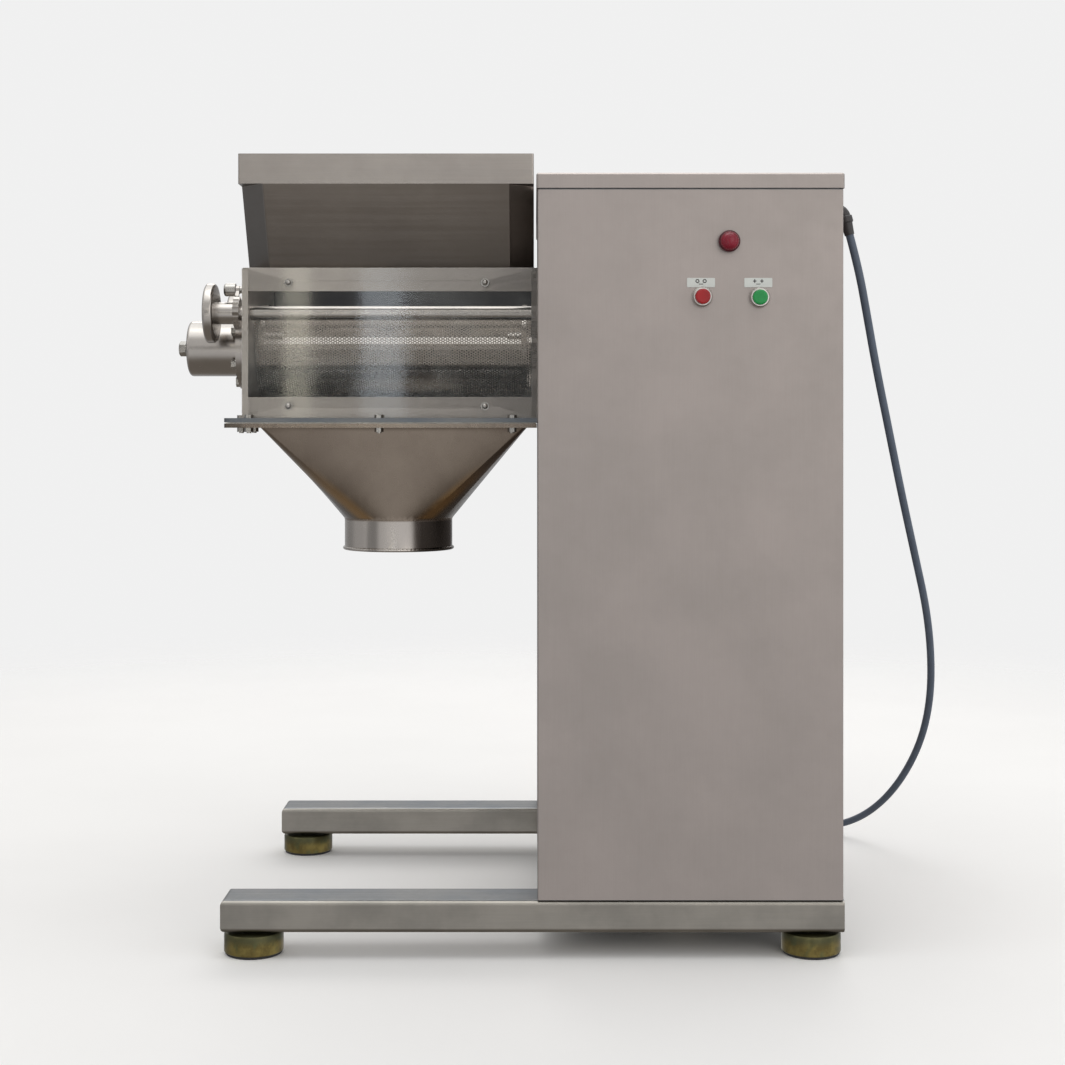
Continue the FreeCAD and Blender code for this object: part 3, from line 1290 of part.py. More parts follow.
def motor_body():
    """Finned frame, end shields, feet, fan cowl and terminal box."""
    def at(y):
        return V(MOTOR_X, y, MOTOR_Z)

    barrel = rod(at(MOTOR_FRONT + 90), Y_AXIS, MOTOR_RADIUS, MOTOR_BACK - 30 - MOTOR_FRONT - 90)
    fins = []
    for k in range(24):
        a = 2 * math.pi * k / 24
        top = MOTOR_Z + MOTOR_RADIUS + 12
        fin = box(MOTOR_X - 2, MOTOR_X + 2, MOTOR_FRONT + 95, MOTOR_BACK - 35, top - 14, top)
        fin.rotate(at(0), Y_AXIS, math.degrees(a))
        fins.append(fin)
    shield = rod(at(MOTOR_BACK - 30), Y_AXIS, MOTOR_RADIUS + 6, 22)
    nose = rod(at(MOTOR_BACK - 8), Y_AXIS, 45.0, 8)
    cowl = rod(at(MOTOR_FRONT), Y_AXIS, MOTOR_RADIUS + 10, 95)
    cowl = cowl.makeFillet(10.0, [e for e in cowl.Edges if abs(e.BoundBox.YMax - MOTOR_FRONT) < 0.01])
    feet = []
    for side in (-1, 1):
        x0 = MOTOR_X + side * 78
        ledge = MOTOR_FOOT_Z + 14
        for reach, z0, z1 in ((40, MOTOR_FOOT_Z, ledge), (14, ledge, MOTOR_Z - 50)):
            left, right = sorted((x0, x0 + side * reach))
            feet.append(box(left, right, -20, 150, z0, z1))
    wall = MOTOR_X - MOTOR_RADIUS
    terminal = box(wall - 44, wall + 14, 20, 130, MOTOR_Z - 42, MOTOR_Z + 48)
    body = united(barrel, shield, nose, cowl, terminal, *feet)
    for fin in fins:
        body = body.fuse(fin)
    return less(body.removeSplitter(), rod(at(MOTOR_BACK - 30), Y_AXIS, 14.0 + RUNNING_GAP, 31))


def motor_pulley():
    """The pulley on the end of the motor's own shaft."""
    start = V(MOTOR_X, MOTOR_BACK - 28, MOTOR_Z)
    shaft = rod(start, Y_AXIS, 14.0, PULLEY_Y + PULLEY_WIDTH - start.y)
    return united(shaft, grooved_pulley(V(MOTOR_X, PULLEY_Y, MOTOR_Z), MOTOR_PULLEY_RADIUS, 14.0, 28.0))


def motor_base():
    """Plate on the bottom frame with two slide rails under the motor's feet."""
    z0 = BEAM_TOP + POST
    plate = box(INNER_LEFT + 4, INNER_RIGHT - 4, -190, 240, z0, z0 + 10)
    rails = [box(MOTOR_X - 150, MOTOR_X + 150, y, y + 50, z0 + 10, MOTOR_FOOT_Z) for y in (-30.0, 110.0)]
    return united(plate, rails[0], rails[1])


def gearbox_housing():
    """Cast box open to the right, with bored walls for the three shafts."""
    w = GEARBOX_WALL
    outer = box(GEARBOX_LEFT, GEARBOX_RIGHT - w, -GEARBOX_HALF, GEARBOX_HALF, GEARBOX_BOTTOM, GEARBOX_TOP)
    inner = box(
        GEARBOX_LEFT + w,
        GEARBOX_RIGHT,
        -GEARBOX_HALF + w,
        GEARBOX_HALF - w,
        GEARBOX_BOTTOM + w,
        GEARBOX_TOP - 8,
    )
    outer = rounded(outer, 12.0, lambda e: along(e, X_AXIS))
    shaft_hole = rod(axis_point(GEARBOX_LEFT), X_AXIS, SHAFT_RADIUS + 2, w)
    worm_holes = rod(V(WORM_X, -GEARBOX_HALF + 4, WORM_Z), Y_AXIS, 15.0 + RUNNING_GAP, 2 * GEARBOX_HALF)
    bosses = []
    for y in (-GEARBOX_HALF + w, GEARBOX_HALF - w - 22):
        bosses.append(rod(V(WORM_X, y, WORM_Z), Y_AXIS, 38.0, 22))
    return less(united(less(outer, inner), *bosses), shaft_hole, worm_holes)


def gearbox_cover():
    """Right-hand cover plate with the wheel's and the rotor shaft's bearings."""
    x0 = GEARBOX_RIGHT - GEARBOX_WALL
    plate = box(x0, GEARBOX_RIGHT, -GEARBOX_HALF, GEARBOX_HALF, GEARBOX_BOTTOM, GEARBOX_TOP)
    plate = rounded(plate, 12.0, lambda e: along(e, X_AXIS))
    boss = rod(V(x0 - 30, WHEEL_Y, WHEEL_Z), X_AXIS, 48.0, 30)
    bearing_seat = ring(axis_point(SHAFT_RIGHT - 30), X_AXIS, 48.0, BEARING_RADIUS, x0 - SHAFT_RIGHT + 30)
    bore = rod(V(x0 - 30, WHEEL_Y, WHEEL_Z), X_AXIS, 25.0 + RUNNING_GAP, 30 + 7)
    bolts = []
    for y in (-GEARBOX_HALF + 12, 0, GEARBOX_HALF - 12):
        for z in (GEARBOX_BOTTOM + 12, GEARBOX_TOP - 12):
            bolts.append(hexagon(V(GEARBOX_RIGHT, y, z), X_AXIS, 16, 7))
    return less(united(plate, boss, bearing_seat, *bolts), bore)


# ---- all sub-parts -----------------------------------------------------------
def build():
    nodes = {
        "base_frame": separate(base_beams() + base_cross_rails()),
        "foot_pads": foot_pads(),
        "foot_cups": foot_cups(),
        "foot_studs": foot_studs(),
        "column_frame": column_frame(),
        "front_panel": front_panel(),
        "side_panels": separate([left_panel(), right_panel()]),
        "rear_panel": rear_panel(),
        "top_lid": top_lid(),
        "rear_door": rear_door(),
        "door_hinges": door_hinges(),
        "door_latch": door_latch(),
        "pilot_lamp_bezel": pilot_lamp_bezel(),
        "pilot_lamp_lens": pilot_lamp_lens(),
        "stop_button_bezel": button_bezel(*STOP),
        "stop_button_cap": button_cap(STOP[0], STOP[1], 17.0),
        "start_button_bezel": button_bezel(*START),
        "start_button_cap": button_cap(START[0], START[1], 15.0),
        "legend_plates": legend_plates(),
        "contact_blocks": contact_blocks(),
        "contactor_panel": contactor_panel(),
        "cable_gland": cable_gland(),
        "power_cable": power_cable(),
        "cable_coil": cable_coil(),
        "power_plug": power_plug(),
        "chamber_end_plates": chamber_end_plates(),
        "chamber_front_frame": chamber_front_frame(),
        "chamber_rear_wall": chamber_rear_wall(),
        "chamber_flange": chamber_flange(),
        "window_cover": window_cover(),
        "window_nuts": window_nuts(),
        "hopper": hopper(),
        "flange_gasket": flange_gasket(),
        "chamber_bolts": separate(flange_bolts() + housing_bolts()),
        "discharge_cone": discharge_cone(),
        "rotor_shaft": rotor_shaft(),
        "rotor_end_discs": rotor_end_discs(),
        "rotor_bars": rotor_bars(),
        "bearing_housing": bearing_housing(),
        "shaft_bearings": shaft_bearings(),
        "bearing_cap_nut": bearing_cap_nut(),
        "screen_sheet": screen_sheet(),
        "front_clamp_tube": clamp_tube(-CLAMP_Y),
        "rear_clamp_tube": clamp_tube(CLAMP_Y),
        "front_handwheel": handwheel(-CLAMP_Y),
        "rear_handwheel": handwheel(CLAMP_Y),
        "front_pawl": pawl(-CLAMP_Y),
        "rear_pawl": pawl(CLAMP_Y),
        "pawl_pins": pawl_pins(),
        "gearbox_housing": gearbox_housing(),
        "gearbox_cover": gearbox_cover(),
        "gear_rack": gear_rack(),
        "rack_guide": rack_guide(),
        "worm_wheel": worm_wheel(),
        "worm_shaft": worm_shaft(),
        "worm_pulley": worm_pulley(),
        "v_belts": v_belts(),
        "motor_body": motor_body(),
        "motor_pulley": motor_pulley(),
        "motor_base": motor_base(),
    }
    os.makedirs("parts", exist_ok=True)
    for name, shape in nodes.items():
        save(name, shape)
    print(len(nodes), "nodes")


build()
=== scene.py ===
"""Oscillating granulator: looks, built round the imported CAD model. Metres, +Z up, front at -Y."""
import math

import bmesh
import bpy
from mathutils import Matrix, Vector


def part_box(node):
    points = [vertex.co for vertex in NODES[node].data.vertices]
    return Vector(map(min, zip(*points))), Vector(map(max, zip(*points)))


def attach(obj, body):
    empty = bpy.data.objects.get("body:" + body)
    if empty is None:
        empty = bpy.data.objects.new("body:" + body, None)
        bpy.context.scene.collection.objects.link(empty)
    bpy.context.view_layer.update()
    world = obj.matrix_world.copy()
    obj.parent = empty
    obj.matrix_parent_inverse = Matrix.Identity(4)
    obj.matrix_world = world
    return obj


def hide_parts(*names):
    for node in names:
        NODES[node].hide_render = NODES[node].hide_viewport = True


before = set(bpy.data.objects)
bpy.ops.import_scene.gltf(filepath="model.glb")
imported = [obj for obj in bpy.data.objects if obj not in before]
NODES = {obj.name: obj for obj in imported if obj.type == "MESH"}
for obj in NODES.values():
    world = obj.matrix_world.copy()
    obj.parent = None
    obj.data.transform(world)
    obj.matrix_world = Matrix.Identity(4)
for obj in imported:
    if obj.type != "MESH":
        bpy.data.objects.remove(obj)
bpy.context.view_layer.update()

MM = 0.001
SPIGOT_X = -0.166           # middle of the cone's spigot
SPIGOT_RADIUS = 0.0935
CONE_FOOT = 0.660           # where the cone meets the spigot
LIP_FOLD = 1.214            # where the hopper's slopes turn upright
CHAMBER_TOP = 1.083
HOPPER_CUT = 0.040          # leg of the hopper's cut corners
UP = Vector((0, 0, 1))


def low(node):
    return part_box(node)[0]


def high(node):
    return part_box(node)[1]


# ---- camera ------------------------------------------------------------------
def add_camera():
    data = bpy.data.cameras.new("camera")
    data.sensor_width = 36.0
    data.lens = 60.44
    data.shift_x = -0.00235
    data.shift_y = -0.0972
    data.clip_end = 100
    camera = bpy.data.objects.new("camera", data)
    camera.location = (0.072, -3.122, 0.815)
    camera.rotation_euler = (math.radians(90), 0, 0)
    bpy.context.scene.collection.objects.link(camera)
    bpy.context.scene.camera = camera


add_camera()


# ---- making pieces -----------------------------------------------------------
def add_object(name, data, material, body="machine"):
    made = bpy.data.objects.new(name, data)
    bpy.context.scene.collection.objects.link(made)
    data.materials.append(material)
    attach(made, body)
    return made


def mesh_object(name, vertices, faces, material, smooth=True):
    mesh = bpy.data.meshes.new(name)
    mesh.from_pydata([tuple(v) for v in vertices], [], faces)
    mesh.validate()
    work = bmesh.new()
    work.from_mesh(mesh)
    bmesh.ops.recalc_face_normals(work, faces=work.faces)
    work.to_mesh(mesh)
    work.free()
    mesh.polygons.foreach_set("use_smooth", [smooth] * len(mesh.polygons))
    return add_object(name, mesh, material)


def swept(name, path, section, material, closed=False):
    """A section, given by its points across and up, carried along a path of (place, across, up)."""
    count = len(section)
    vertices = []
    for place, across, up in path:
        vertices += [place + across * a + up * b for a, b in section]
    faces = []
    rings = len(path)
    for i in range(rings if closed else rings - 1):
        j = (i + 1) % rings
        for k in range(count):
            m = (k + 1) % count
            faces.append((i * count + k, i * count + m, j * count + m, j * count + k))
    if not closed:
        faces.append(tuple(range(count)))
        faces.append(tuple(range((rings - 1) * count, rings * count)))
    return mesh_object(name, vertices, faces, material)


def circle(radius, count):
    turn = 2 * math.pi / count
    return [(radius * math.cos(k * turn), radius * math.sin(k * turn)) for k in range(count)]


# ---- materials ---------------------------------------------------------------
class Graph:
    """A node tree, with the calls a recipe needs."""

    def __init__(self, tree):
        self.tree = tree

    def node(self, kind, settings=None, **sockets):
        made = self.tree.nodes.new(kind)
        for key, value in (settings or {}).items():
            setattr(made, key, value)
        for key, value in sockets.items():
            self.feed(made.inputs[key.replace("_", " ")], value)
        return made

    def feed(self, socket, value):
        if isinstance(value, bpy.types.NodeSocket):
            self.tree.links.new(value, socket)
        else:
            socket.default_value = value

    def between(self, factor, low_in, high_in, low_out=0.0, high_out=1.0):
        made = self.node("ShaderNodeMapRange", {"interpolation_type": "SMOOTHSTEP"})
        for index, value in enumerate((factor, low_in, high_in, low_out, high_out)):
            self.feed(made.inputs[index], value)
        return made.outputs["Result"]

    def blend(self, factor, first, second, how="MIX"):
        made = self.tree.nodes.new("ShaderNodeMix")
        made.data_type = "RGBA"
        made.blend_type = how
        self.feed(made.inputs["Factor"], factor)
        self.feed(made.inputs[6], rgba(first))
        self.feed(made.inputs[7], rgba(second))
        return made.outputs[2]

    def maths(self, how, first, second=0.0):
        made = self.tree.nodes.new("ShaderNodeMath")
        made.operation = how
        self.feed(made.inputs[0], first)
        self.feed(made.inputs[1], second)
        return made.outputs[0]

    def product(self, *factors):
        total = factors[0]
        for factor in factors[1:]:
            total = self.maths("MULTIPLY", total, factor)
        return total


class Paint(Graph):
    """One material."""

    def __init__(self, name):
        self.material = bpy.data.materials.new(name)
        self.material.use_nodes = True
        super().__init__(self.material.node_tree)
        self.shader = self.tree.nodes["Principled BSDF"]
        self.place = self.tree.nodes.new("ShaderNodeTexCoord").outputs["Object"]

    def set(self, **sockets):
        for key, value in sockets.items():
            self.feed(self.shader.inputs[key.replace("_", " ")], value)

    def stretch(self, x, y, z):
        return self.node("ShaderNodeMapping", Vector=self.place, Scale=(x, y, z)).outputs["Vector"]

    def noise(self, scale, detail=3.0, roughness=0.5, stretch=(1, 1, 1)):
        vector = self.place if stretch == (1, 1, 1) else self.stretch(*stretch)
        made = self.node("ShaderNodeTexNoise", Vector=vector, Scale=scale, Detail=detail, Roughness=roughness)
        return made.outputs["Fac"]

    def axis(self, letter):
        return self.node("ShaderNodeSeparateXYZ", Vector=self.place).outputs[letter]

    def bump(self, height, strength, distance):
        made = self.node("ShaderNodeBump", Height=height, Strength=strength, Distance=distance)
        self.set(Normal=made.outputs["Normal"])


def rgba(value):
    if isinstance(value, (tuple, list)) and len(value) == 3:
        return (*value, 1.0)
    return value


def srgb(red, green, blue):
    """A colour given as it looks on a screen, 0 to 255, as the shader's linear one."""
    linear = []
    for part in (red, green, blue):
        part /= 255
        linear.append(part / 12.92 if part <= 0.04045 else ((part + 0.055) / 1.055) ** 2.4)
    return tuple(linear)


ALONG_X = (0.02, 1, 1)
ALONG_Y = (1, 0.02, 1)
ALONG_Z = (1, 1, 0.02)
TURNED_X = (1, 0.03, 0.03)


def steel(
    name, light, dark, rough, grain=ALONG_X, depth=0.08, mottle=7.0, spread=0.05, streaks=0.06, shade=None
):
    """Ground or brushed stainless: cloudy tone, fine straight grain in colour, gloss and height."""
    paint = Paint(name)
    clouds = paint.between(paint.noise(mottle, 5, 0.6), 0.32, 0.68)
    grain_fine = paint.noise(900, 4, 0.65, grain)
    grain_broad = paint.noise(120, 3, 0.6, grain)
    colour = paint.blend(clouds, dark, light)
    both = paint.maths("ADD", grain_fine, grain_broad)
    streak = paint.between(both, 0.6, 1.4, 1 - streaks, 1 + streaks)
    tone = paint.node("ShaderNodeCombineColor", Red=streak, Green=streak, Blue=streak)
    colour = paint.blend(1.0, colour, tone.outputs["Color"], "MULTIPLY")
    if shade:
        colour = shade(paint, colour)
    wear_and_shade_patches = paint.between(paint.noise(38, 4, 0.7), 0.35, 0.75)
    drawn = paint.between(grain_broad, 0.3, 0.7, rough - spread, rough + spread)
    gloss = paint.maths("ADD", drawn, paint.maths("MULTIPLY", wear_and_shade_patches, 0.05))
    paint.set(Base_Color=colour, Metallic=1.0, Roughness=gloss)
    paint.bump(grain_fine, depth, 0.0004)
    return paint.material


def moulded(name, colour, rough, fine=600.0, depth=0.06, tone=0.82, coat=0.0):
    """Moulded plastic or rubber: faint cloudiness and a fine pebble."""
    paint = Paint(name)
    clouds = paint.between(paint.noise(22, 4, 0.6), 0.3, 0.7)
    pebble = paint.noise(fine, 3, 0.6)
    darker = tuple(part * tone for part in colour)
    paint.set(
        Base_Color=paint.blend(clouds, darker, colour),
        Roughness=paint.between(pebble, 0.3, 0.7, rough - 0.05, rough + 0.07),
        Coat_Weight=coat,
    )
    paint.bump(pebble, depth, 0.0003)
    return paint.material


def painted(name, colour, rough, cast=False):
    """Machine enamel, with orange peel, or a cast skin under it, and rubbed tones."""
    paint = Paint(name)
    peel = paint.noise(160 if cast else 420, 4, 0.6)
    clouds = paint.between(paint.noise(9, 5, 0.6), 0.3, 0.7)
    dust = paint.between(paint.noise(55, 4, 0.75), 0.55, 0.8)
    darker = tuple(part * 0.78 for part in colour)
    dusty = tuple(0.6 * part + 0.12 for part in colour)
    base = paint.blend(clouds, darker, colour)
    paint.set(
        Base_Color=paint.blend(paint.maths("MULTIPLY", dust, 0.35), base, dusty),
        Roughness=paint.between(dust, 0, 1, rough, rough + 0.2),
        Coat_Weight=0.15,
    )
    paint.bump(peel, 0.35 if cast else 0.12, 0.0009)
    return paint.material


CONE_FOLD = SPIGOT_RADIUS * math.sin(math.radians(31))      # how far out the folds meet the spigot


def cone_shade(paint, colour):
    """Painted warm reflection low along the cone's folds, painted shade on the sides beyond them, and painted
    dark bands on the spigot.
    """
    height = paint.axis("Z")
    from_middle = paint.maths("SUBTRACT", paint.axis("X"), SPIGOT_X)
    across = paint.maths("ABSOLUTE", from_middle)
    rise = paint.maths("SUBTRACT", height, CONE_FOOT)
    fold = paint.maths("ADD", paint.maths("MULTIPLY", rise, 1.12), CONE_FOLD)
    away = paint.maths("SUBTRACT", across, fold)
    beside_fold = paint.product(paint.between(away, -0.022, 0.0), paint.between(away, 0.022, 0.006))
    near_weld = paint.between(height, CONE_FOOT + 0.11, CONE_FOOT + 0.02)
    on_cone = paint.between(height, CONE_FOOT, CONE_FOOT + 0.004)
    patchy = paint.between(paint.noise(14, 3), 0.3, 0.7, 0.6, 0.95)
    # painted reflection: a warm gold glow beside the folds, low near the spigot weld
    painted_warm_reflection = paint.product(beside_fold, near_weld, patchy, on_cone)
    colour = paint.blend(painted_warm_reflection, colour, srgb(188, 152, 104))
    # painted shade: the cone's sides beyond the folds are darkened
    outer = paint.between(away, 0.004, 0.03, 0.0, 0.6)
    colour = paint.blend(paint.product(outer, on_cone), colour, srgb(70, 66, 60))
    spigot = paint.between(height, CONE_FOOT, CONE_FOOT - 0.004)
    colour = paint.blend(spigot, colour, srgb(182, 175, 168))
    # painted reflection: a dark band down the spigot's right side
    painted_dark_band = paint.between(from_middle, 0.022, 0.046, 0.0, 0.8)
    colour = paint.blend(paint.product(spigot, painted_dark_band), colour, srgb(62, 58, 55))
    # painted reflection: a narrower dark band on the spigot's left side
    right_side = paint.between(from_middle, -0.024, -0.034)
    left_side = paint.between(from_middle, -0.052, -0.044)
    return paint.blend(paint.product(spigot, right_side, left_side, 0.5), colour, srgb(92, 88, 84))


def frame_shade(paint, colour):
    """Painted shade: the chamber's front is darker towards the column, where the column's shadow falls."""
    # painted shade, growing towards the column
    painted_column_shade = paint.between(paint.axis("X"), -0.34, -0.04, 0.0, 0.75)
    return paint.blend(painted_column_shade, colour, srgb(142, 136, 131))


def hopper_shade(paint, colour):
    """The upright lip keeps the plain colour, and the slopes get painted shade, darker lower down, with a
    darker painted band on the left cut corner.
    """
    height = paint.axis("Z")
    on_slope = paint.between(height, LIP_FOLD + 0.0015, LIP_FOLD - 0.0015)
    lower = paint.between(height, LIP_FOLD, CHAMBER_TOP, 0.1, 0.8)
    wear_and_shade_patches = paint.between(paint.noise(9, 4, 0.6), 0.2, 0.8, 0.85, 1.0)
    left_of_fold = paint.between(paint.axis("X"), 0.036, 0.026)
    # painted shade on the slopes, in patches, stronger lower down
    colour = paint.blend(paint.product(on_slope, lower, wear_and_shade_patches, left_of_fold), colour, srgb(118, 113, 108))
    # painted shade on the left cut corner's slope
    corner = paint.between(paint.axis("X"), -0.368, -0.374)
    return paint.blend(paint.product(on_slope, corner, 0.7), colour, srgb(92, 90, 88))


def base_shade(paint, colour):
    """Painted reflection: the beams' top faces are darker and bluer than their sides, in patches."""
    on_top = paint.between(paint.axis("Z"), 0.0885, 0.0893)
    patchy = paint.between(paint.noise(6, 4, 0.6), 0.3, 0.7, 0.6, 1.0)
    # painted reflection on the top faces
    return paint.blend(paint.product(on_top, patchy), colour, srgb(98, 103, 108))


def clear_sheet():
    """Clear acrylic that lets light through, with a mirror-like skin."""
    paint = Paint("clear acrylic")
    tree = paint.tree
    haze = paint.between(paint.noise(9, 4, 0.7), 0.35, 0.75, 0.0, 0.05)
    rough = paint.between(haze, 0, 0.05, 0.05, 0.09)
    gloss = paint.node("ShaderNodeBsdfGlossy", Color=rgba((1, 1, 1)), Roughness=rough)
    clear = paint.node("ShaderNodeBsdfTransparent", Color=rgba((0.985, 0.985, 0.98)))
    film = paint.node("ShaderNodeBsdfDiffuse", Color=rgba((0.62, 0.63, 0.60)))
    facing = paint.node("ShaderNodeLayerWeight", Blend=0.5).outputs["Facing"]
    sheen = paint.maths("ADD", paint.maths("MULTIPLY", paint.maths("POWER", facing, 5.0), 0.9), 0.035)
    seen = paint.node("ShaderNodeMixShader")
    dusty = paint.node("ShaderNodeMixShader")
    paint.feed(dusty.inputs[0], haze)
    paint.feed(dusty.inputs[1], clear.outputs[0])
    paint.feed(dusty.inputs[2], film.outputs[0])
    paint.feed(seen.inputs[0], sheen)
    paint.feed(seen.inputs[1], dusty.outputs[0])
    paint.feed(seen.inputs[2], gloss.outputs[0])
    tree.links.new(seen.outputs[0], tree.nodes["Material Output"].inputs["Surface"])
    return paint.material


def signal_plastic(name, colour, rough=0.28, glow=0.0):
    """Bright moulded plastic for caps and lens."""
    paint = Paint(name)
    clouds = paint.between(paint.noise(60, 3, 0.5), 0.3, 0.7)
    darker = tuple(part * 0.72 for part in colour)
    paint.set(
        Base_Color=paint.blend(clouds, darker, colour),
        Roughness=paint.between(paint.noise(500, 3), 0.3, 0.7, rough, rough + 0.12),
        Specular_IOR_Level=0.3,
        Coat_Weight=0.15,
        Coat_Roughness=0.15,
    )
    if glow:
        paint.set(Emission_Color=rgba(colour), Emission_Strength=glow)
    paint.bump(paint.noise(700, 2), 0.05, 0.0002)
    return paint.material


def yellow_zinc():
    """Yellow chromate over zinc: olive, gold and green patches, with painted shade toward the top, under the
    beam.
    """
    paint = Paint("yellow zinc")
    patches = paint.between(paint.noise(34, 4, 0.65), 0.35, 0.65)
    base = paint.blend(patches, srgb(92, 80, 44), srgb(122, 108, 60))
    green = paint.between(paint.noise(60, 3, 0.5), 0.52, 0.7)
    base = paint.blend(paint.maths("MULTIPLY", green, 0.5), base, srgb(74, 84, 58))
    # painted shade: the cup's upper part is darkened, in the beam's shadow
    base = paint.blend(paint.between(paint.axis("Z"), 0.016, 0.030, 0.0, 0.75), base, srgb(66, 70, 52))
    paint.set(Base_Color=base, Metallic=0.85, Roughness=paint.between(patches, 0, 1, 0.42, 0.3))
    paint.bump(paint.noise(300, 4, 0.6), 0.12, 0.0004)
    return paint.material


MATERIALS = {
    "brushed_panel": steel(
        "brushed panel", srgb(162, 153, 148), srgb(155, 147, 142),
        0.46, ALONG_Z, 0.02, 5.0, 0.02, 0.025,
    ),
    "base_steel": steel(
        "ground base steel", srgb(146, 141, 133), srgb(130, 126, 119),
        0.36, ALONG_X, 0.04, 8.0, 0.04, 0.05, base_shade,
    ),
    "hopper_steel": steel(
        "hopper steel", srgb(158, 151, 144), srgb(149, 142, 136),
        0.36, ALONG_X, 0.03, 6.0, 0.04, 0.04, hopper_shade,
    ),
    "polished_steel": steel(
        "polished cone steel", srgb(138, 126, 114), srgb(129, 117, 106),
        0.24, ALONG_Z, 0.01, 9.0, 0.03, 0.03, cone_shade,
    ),
    "machined_steel": steel(
        "turned steel", srgb(168, 162, 156), srgb(160, 154, 148),
        0.22, TURNED_X, 0.0, 16.0, 0.015, 0.015,
    ),
    "fastener_steel": steel(
        "fastener steel", srgb(168, 164, 158), srgb(152, 148, 142),
        0.26, ALONG_Z, 0.01, 60.0, 0.02, 0.03,
    ),
    "screen_steel": steel(
        "perforated steel", srgb(160, 151, 142), srgb(153, 145, 136),
        0.26, ALONG_X, 0.0, 12.0, 0.01, 0.01,
    ),
    "silver_ring": steel(
        "satin ring", srgb(206, 202, 197), srgb(196, 192, 187),
        0.3, ALONG_Y, 0.01, 60.0, 0.02, 0.03,
    ),
    "bronze": steel(
        "bronze", srgb(186, 142, 84), srgb(160, 120, 70),
        0.3, ALONG_X, 0.03, 24.0,
    ),
    "frame_paint": painted("grey frame paint", srgb(120, 124, 128), 0.45),
    "cast_iron_green": painted("green casting enamel", srgb(56, 98, 84), 0.4, cast=True),
    "motor_paint": painted("blue motor enamel", srgb(44, 78, 118), 0.38, cast=True),
    "zinc_cup": yellow_zinc(),
    "rubber_black": moulded("foot rubber", srgb(38, 38, 38), 0.72, 300, 0.2),
    "clear_cover": clear_sheet(),
    "red_plastic": signal_plastic("red cap", srgb(156, 20, 25)),
    "green_plastic": signal_plastic("green cap", srgb(18, 136, 66)),
    "lens_red": signal_plastic("red lens", srgb(120, 14, 36), 0.22, 0.03),
    "dark_plastic": moulded("dark plastic", srgb(44, 40, 40), 0.42, 700, 0.08),
    "legend_white": moulded("legend white", srgb(190, 193, 189), 0.38, 900, 0.03, 0.95),
    "control_plastic": moulded("control grey", srgb(176, 178, 174), 0.5, 800, 0.06, 0.9),
    "cable_rubber": moulded("cable sheath", srgb(76, 86, 101), 0.5, 500, 0.08, 0.86),
    "belt_rubber": moulded("belt rubber", srgb(34, 34, 36), 0.62, 900, 0.25),
    "gasket_white": moulded("gasket silicone", srgb(216, 214, 206), 0.5, 700, 0.08),
    "plug_red": moulded("plug red", srgb(176, 40, 36), 0.4, 600, 0.08),
}


def inner_shade(paint, colour):
    """Painted shade: inside the chamber the plate's face is darker, as that face lies in shade."""
    inside = paint.between(paint.axis("Y"), 0.1498, 0.1492)
    # painted shade on the face inside the chamber
    return paint.blend(inside, colour, srgb(66, 66, 69))


INSIDE = steel(
    "rear wall steel", srgb(166, 158, 152), srgb(157, 150, 145),
    0.5, ALONG_X, 0.03, 6.0, shade=inner_shade,
)
BRIGHT = steel(
    "chamber steel", srgb(172, 165, 157), srgb(163, 156, 149),
    0.42, ALONG_X, 0.02, 6.0, 0.02, 0.025, frame_shade,
)
OWN_MATERIAL = {
    "chamber_rear_wall": INSIDE,
    "chamber_front_frame": BRIGHT,
    "chamber_end_plates": BRIGHT,
    "pilot_lamp_bezel": signal_plastic("lamp ring", srgb(74, 16, 28), 0.3),
}


# ---- the CAD nodes' finish ---------------------------------------------------
EDGE_ROUND = {
    "base_frame": 1.5,
    "top_lid": 0.6,
    "front_panel": 0.25,
    "side_panels": 0.25,
    "rear_panel": 0.25,
    "rear_door": 0.4,
    "hopper": 0.6,
    "chamber_flange": 0.8,
    "chamber_end_plates": 0.6,
    "chamber_front_frame": 0.5,
    "chamber_rear_wall": 0.8,
    "window_cover": 0.5,
    "legend_plates": 0.2,
    "gearbox_housing": 2.5,
    "gearbox_cover": 2.0,
    "column_frame": 2.0,
    "contactor_panel": 0.8,
    "motor_base": 1.0,
    "rack_guide": 0.8,
    "gear_rack": 0.4,
    "rotor_bars": 0.5,
}


HOLED = {"chamber_front_frame", "window_cover", "chamber_flange", "chamber_end_plates", "front_panel"}
FLAT = set(EDGE_ROUND) - {"gearbox_housing", "gearbox_cover", "motor_base", "column_frame", "rack_guide"}


def finish_nodes():
    """Each CAD node gets its slot's material, box-like ones rounded edges, and round ones smooth faces."""
    for name, node in NODES.items():
        slot = node.data.materials[0].name.split(".")[0]
        node.data.materials.clear()
        node.data.materials.append(OWN_MATERIAL.get(name, MATERIALS[slot]))
        if "custom_normal" in node.data.attributes:
            node.data.attributes.remove(node.data.attributes["custom_normal"])
        node.data.polygons.foreach_set("use_smooth", [name not in FLAT] * len(node.data.polygons))
        weld = node.modifiers.new("weld", "WELD")
        weld.merge_threshold = 1e-6
        if name not in EDGE_ROUND:
            split = node.modifiers.new("sharp edges", "EDGE_SPLIT")
            split.split_angle = math.radians(32)
            continue
        if name not in HOLED:
            merge = node.modifiers.new("merge flat faces", "DECIMATE")
            merge.decimate_type = "DISSOLVE"
            merge.angle_limit = math.radians(0.3)
        bevel = node.modifiers.new("edges", "BEVEL")
        bevel.width = EDGE_ROUND[name] * MM
        bevel.segments = 2
        bevel.limit_method = "ANGLE"
        bevel.angle_limit = math.radians(32)
        bevel.harden_normals = name not in FLAT


finish_nodes()


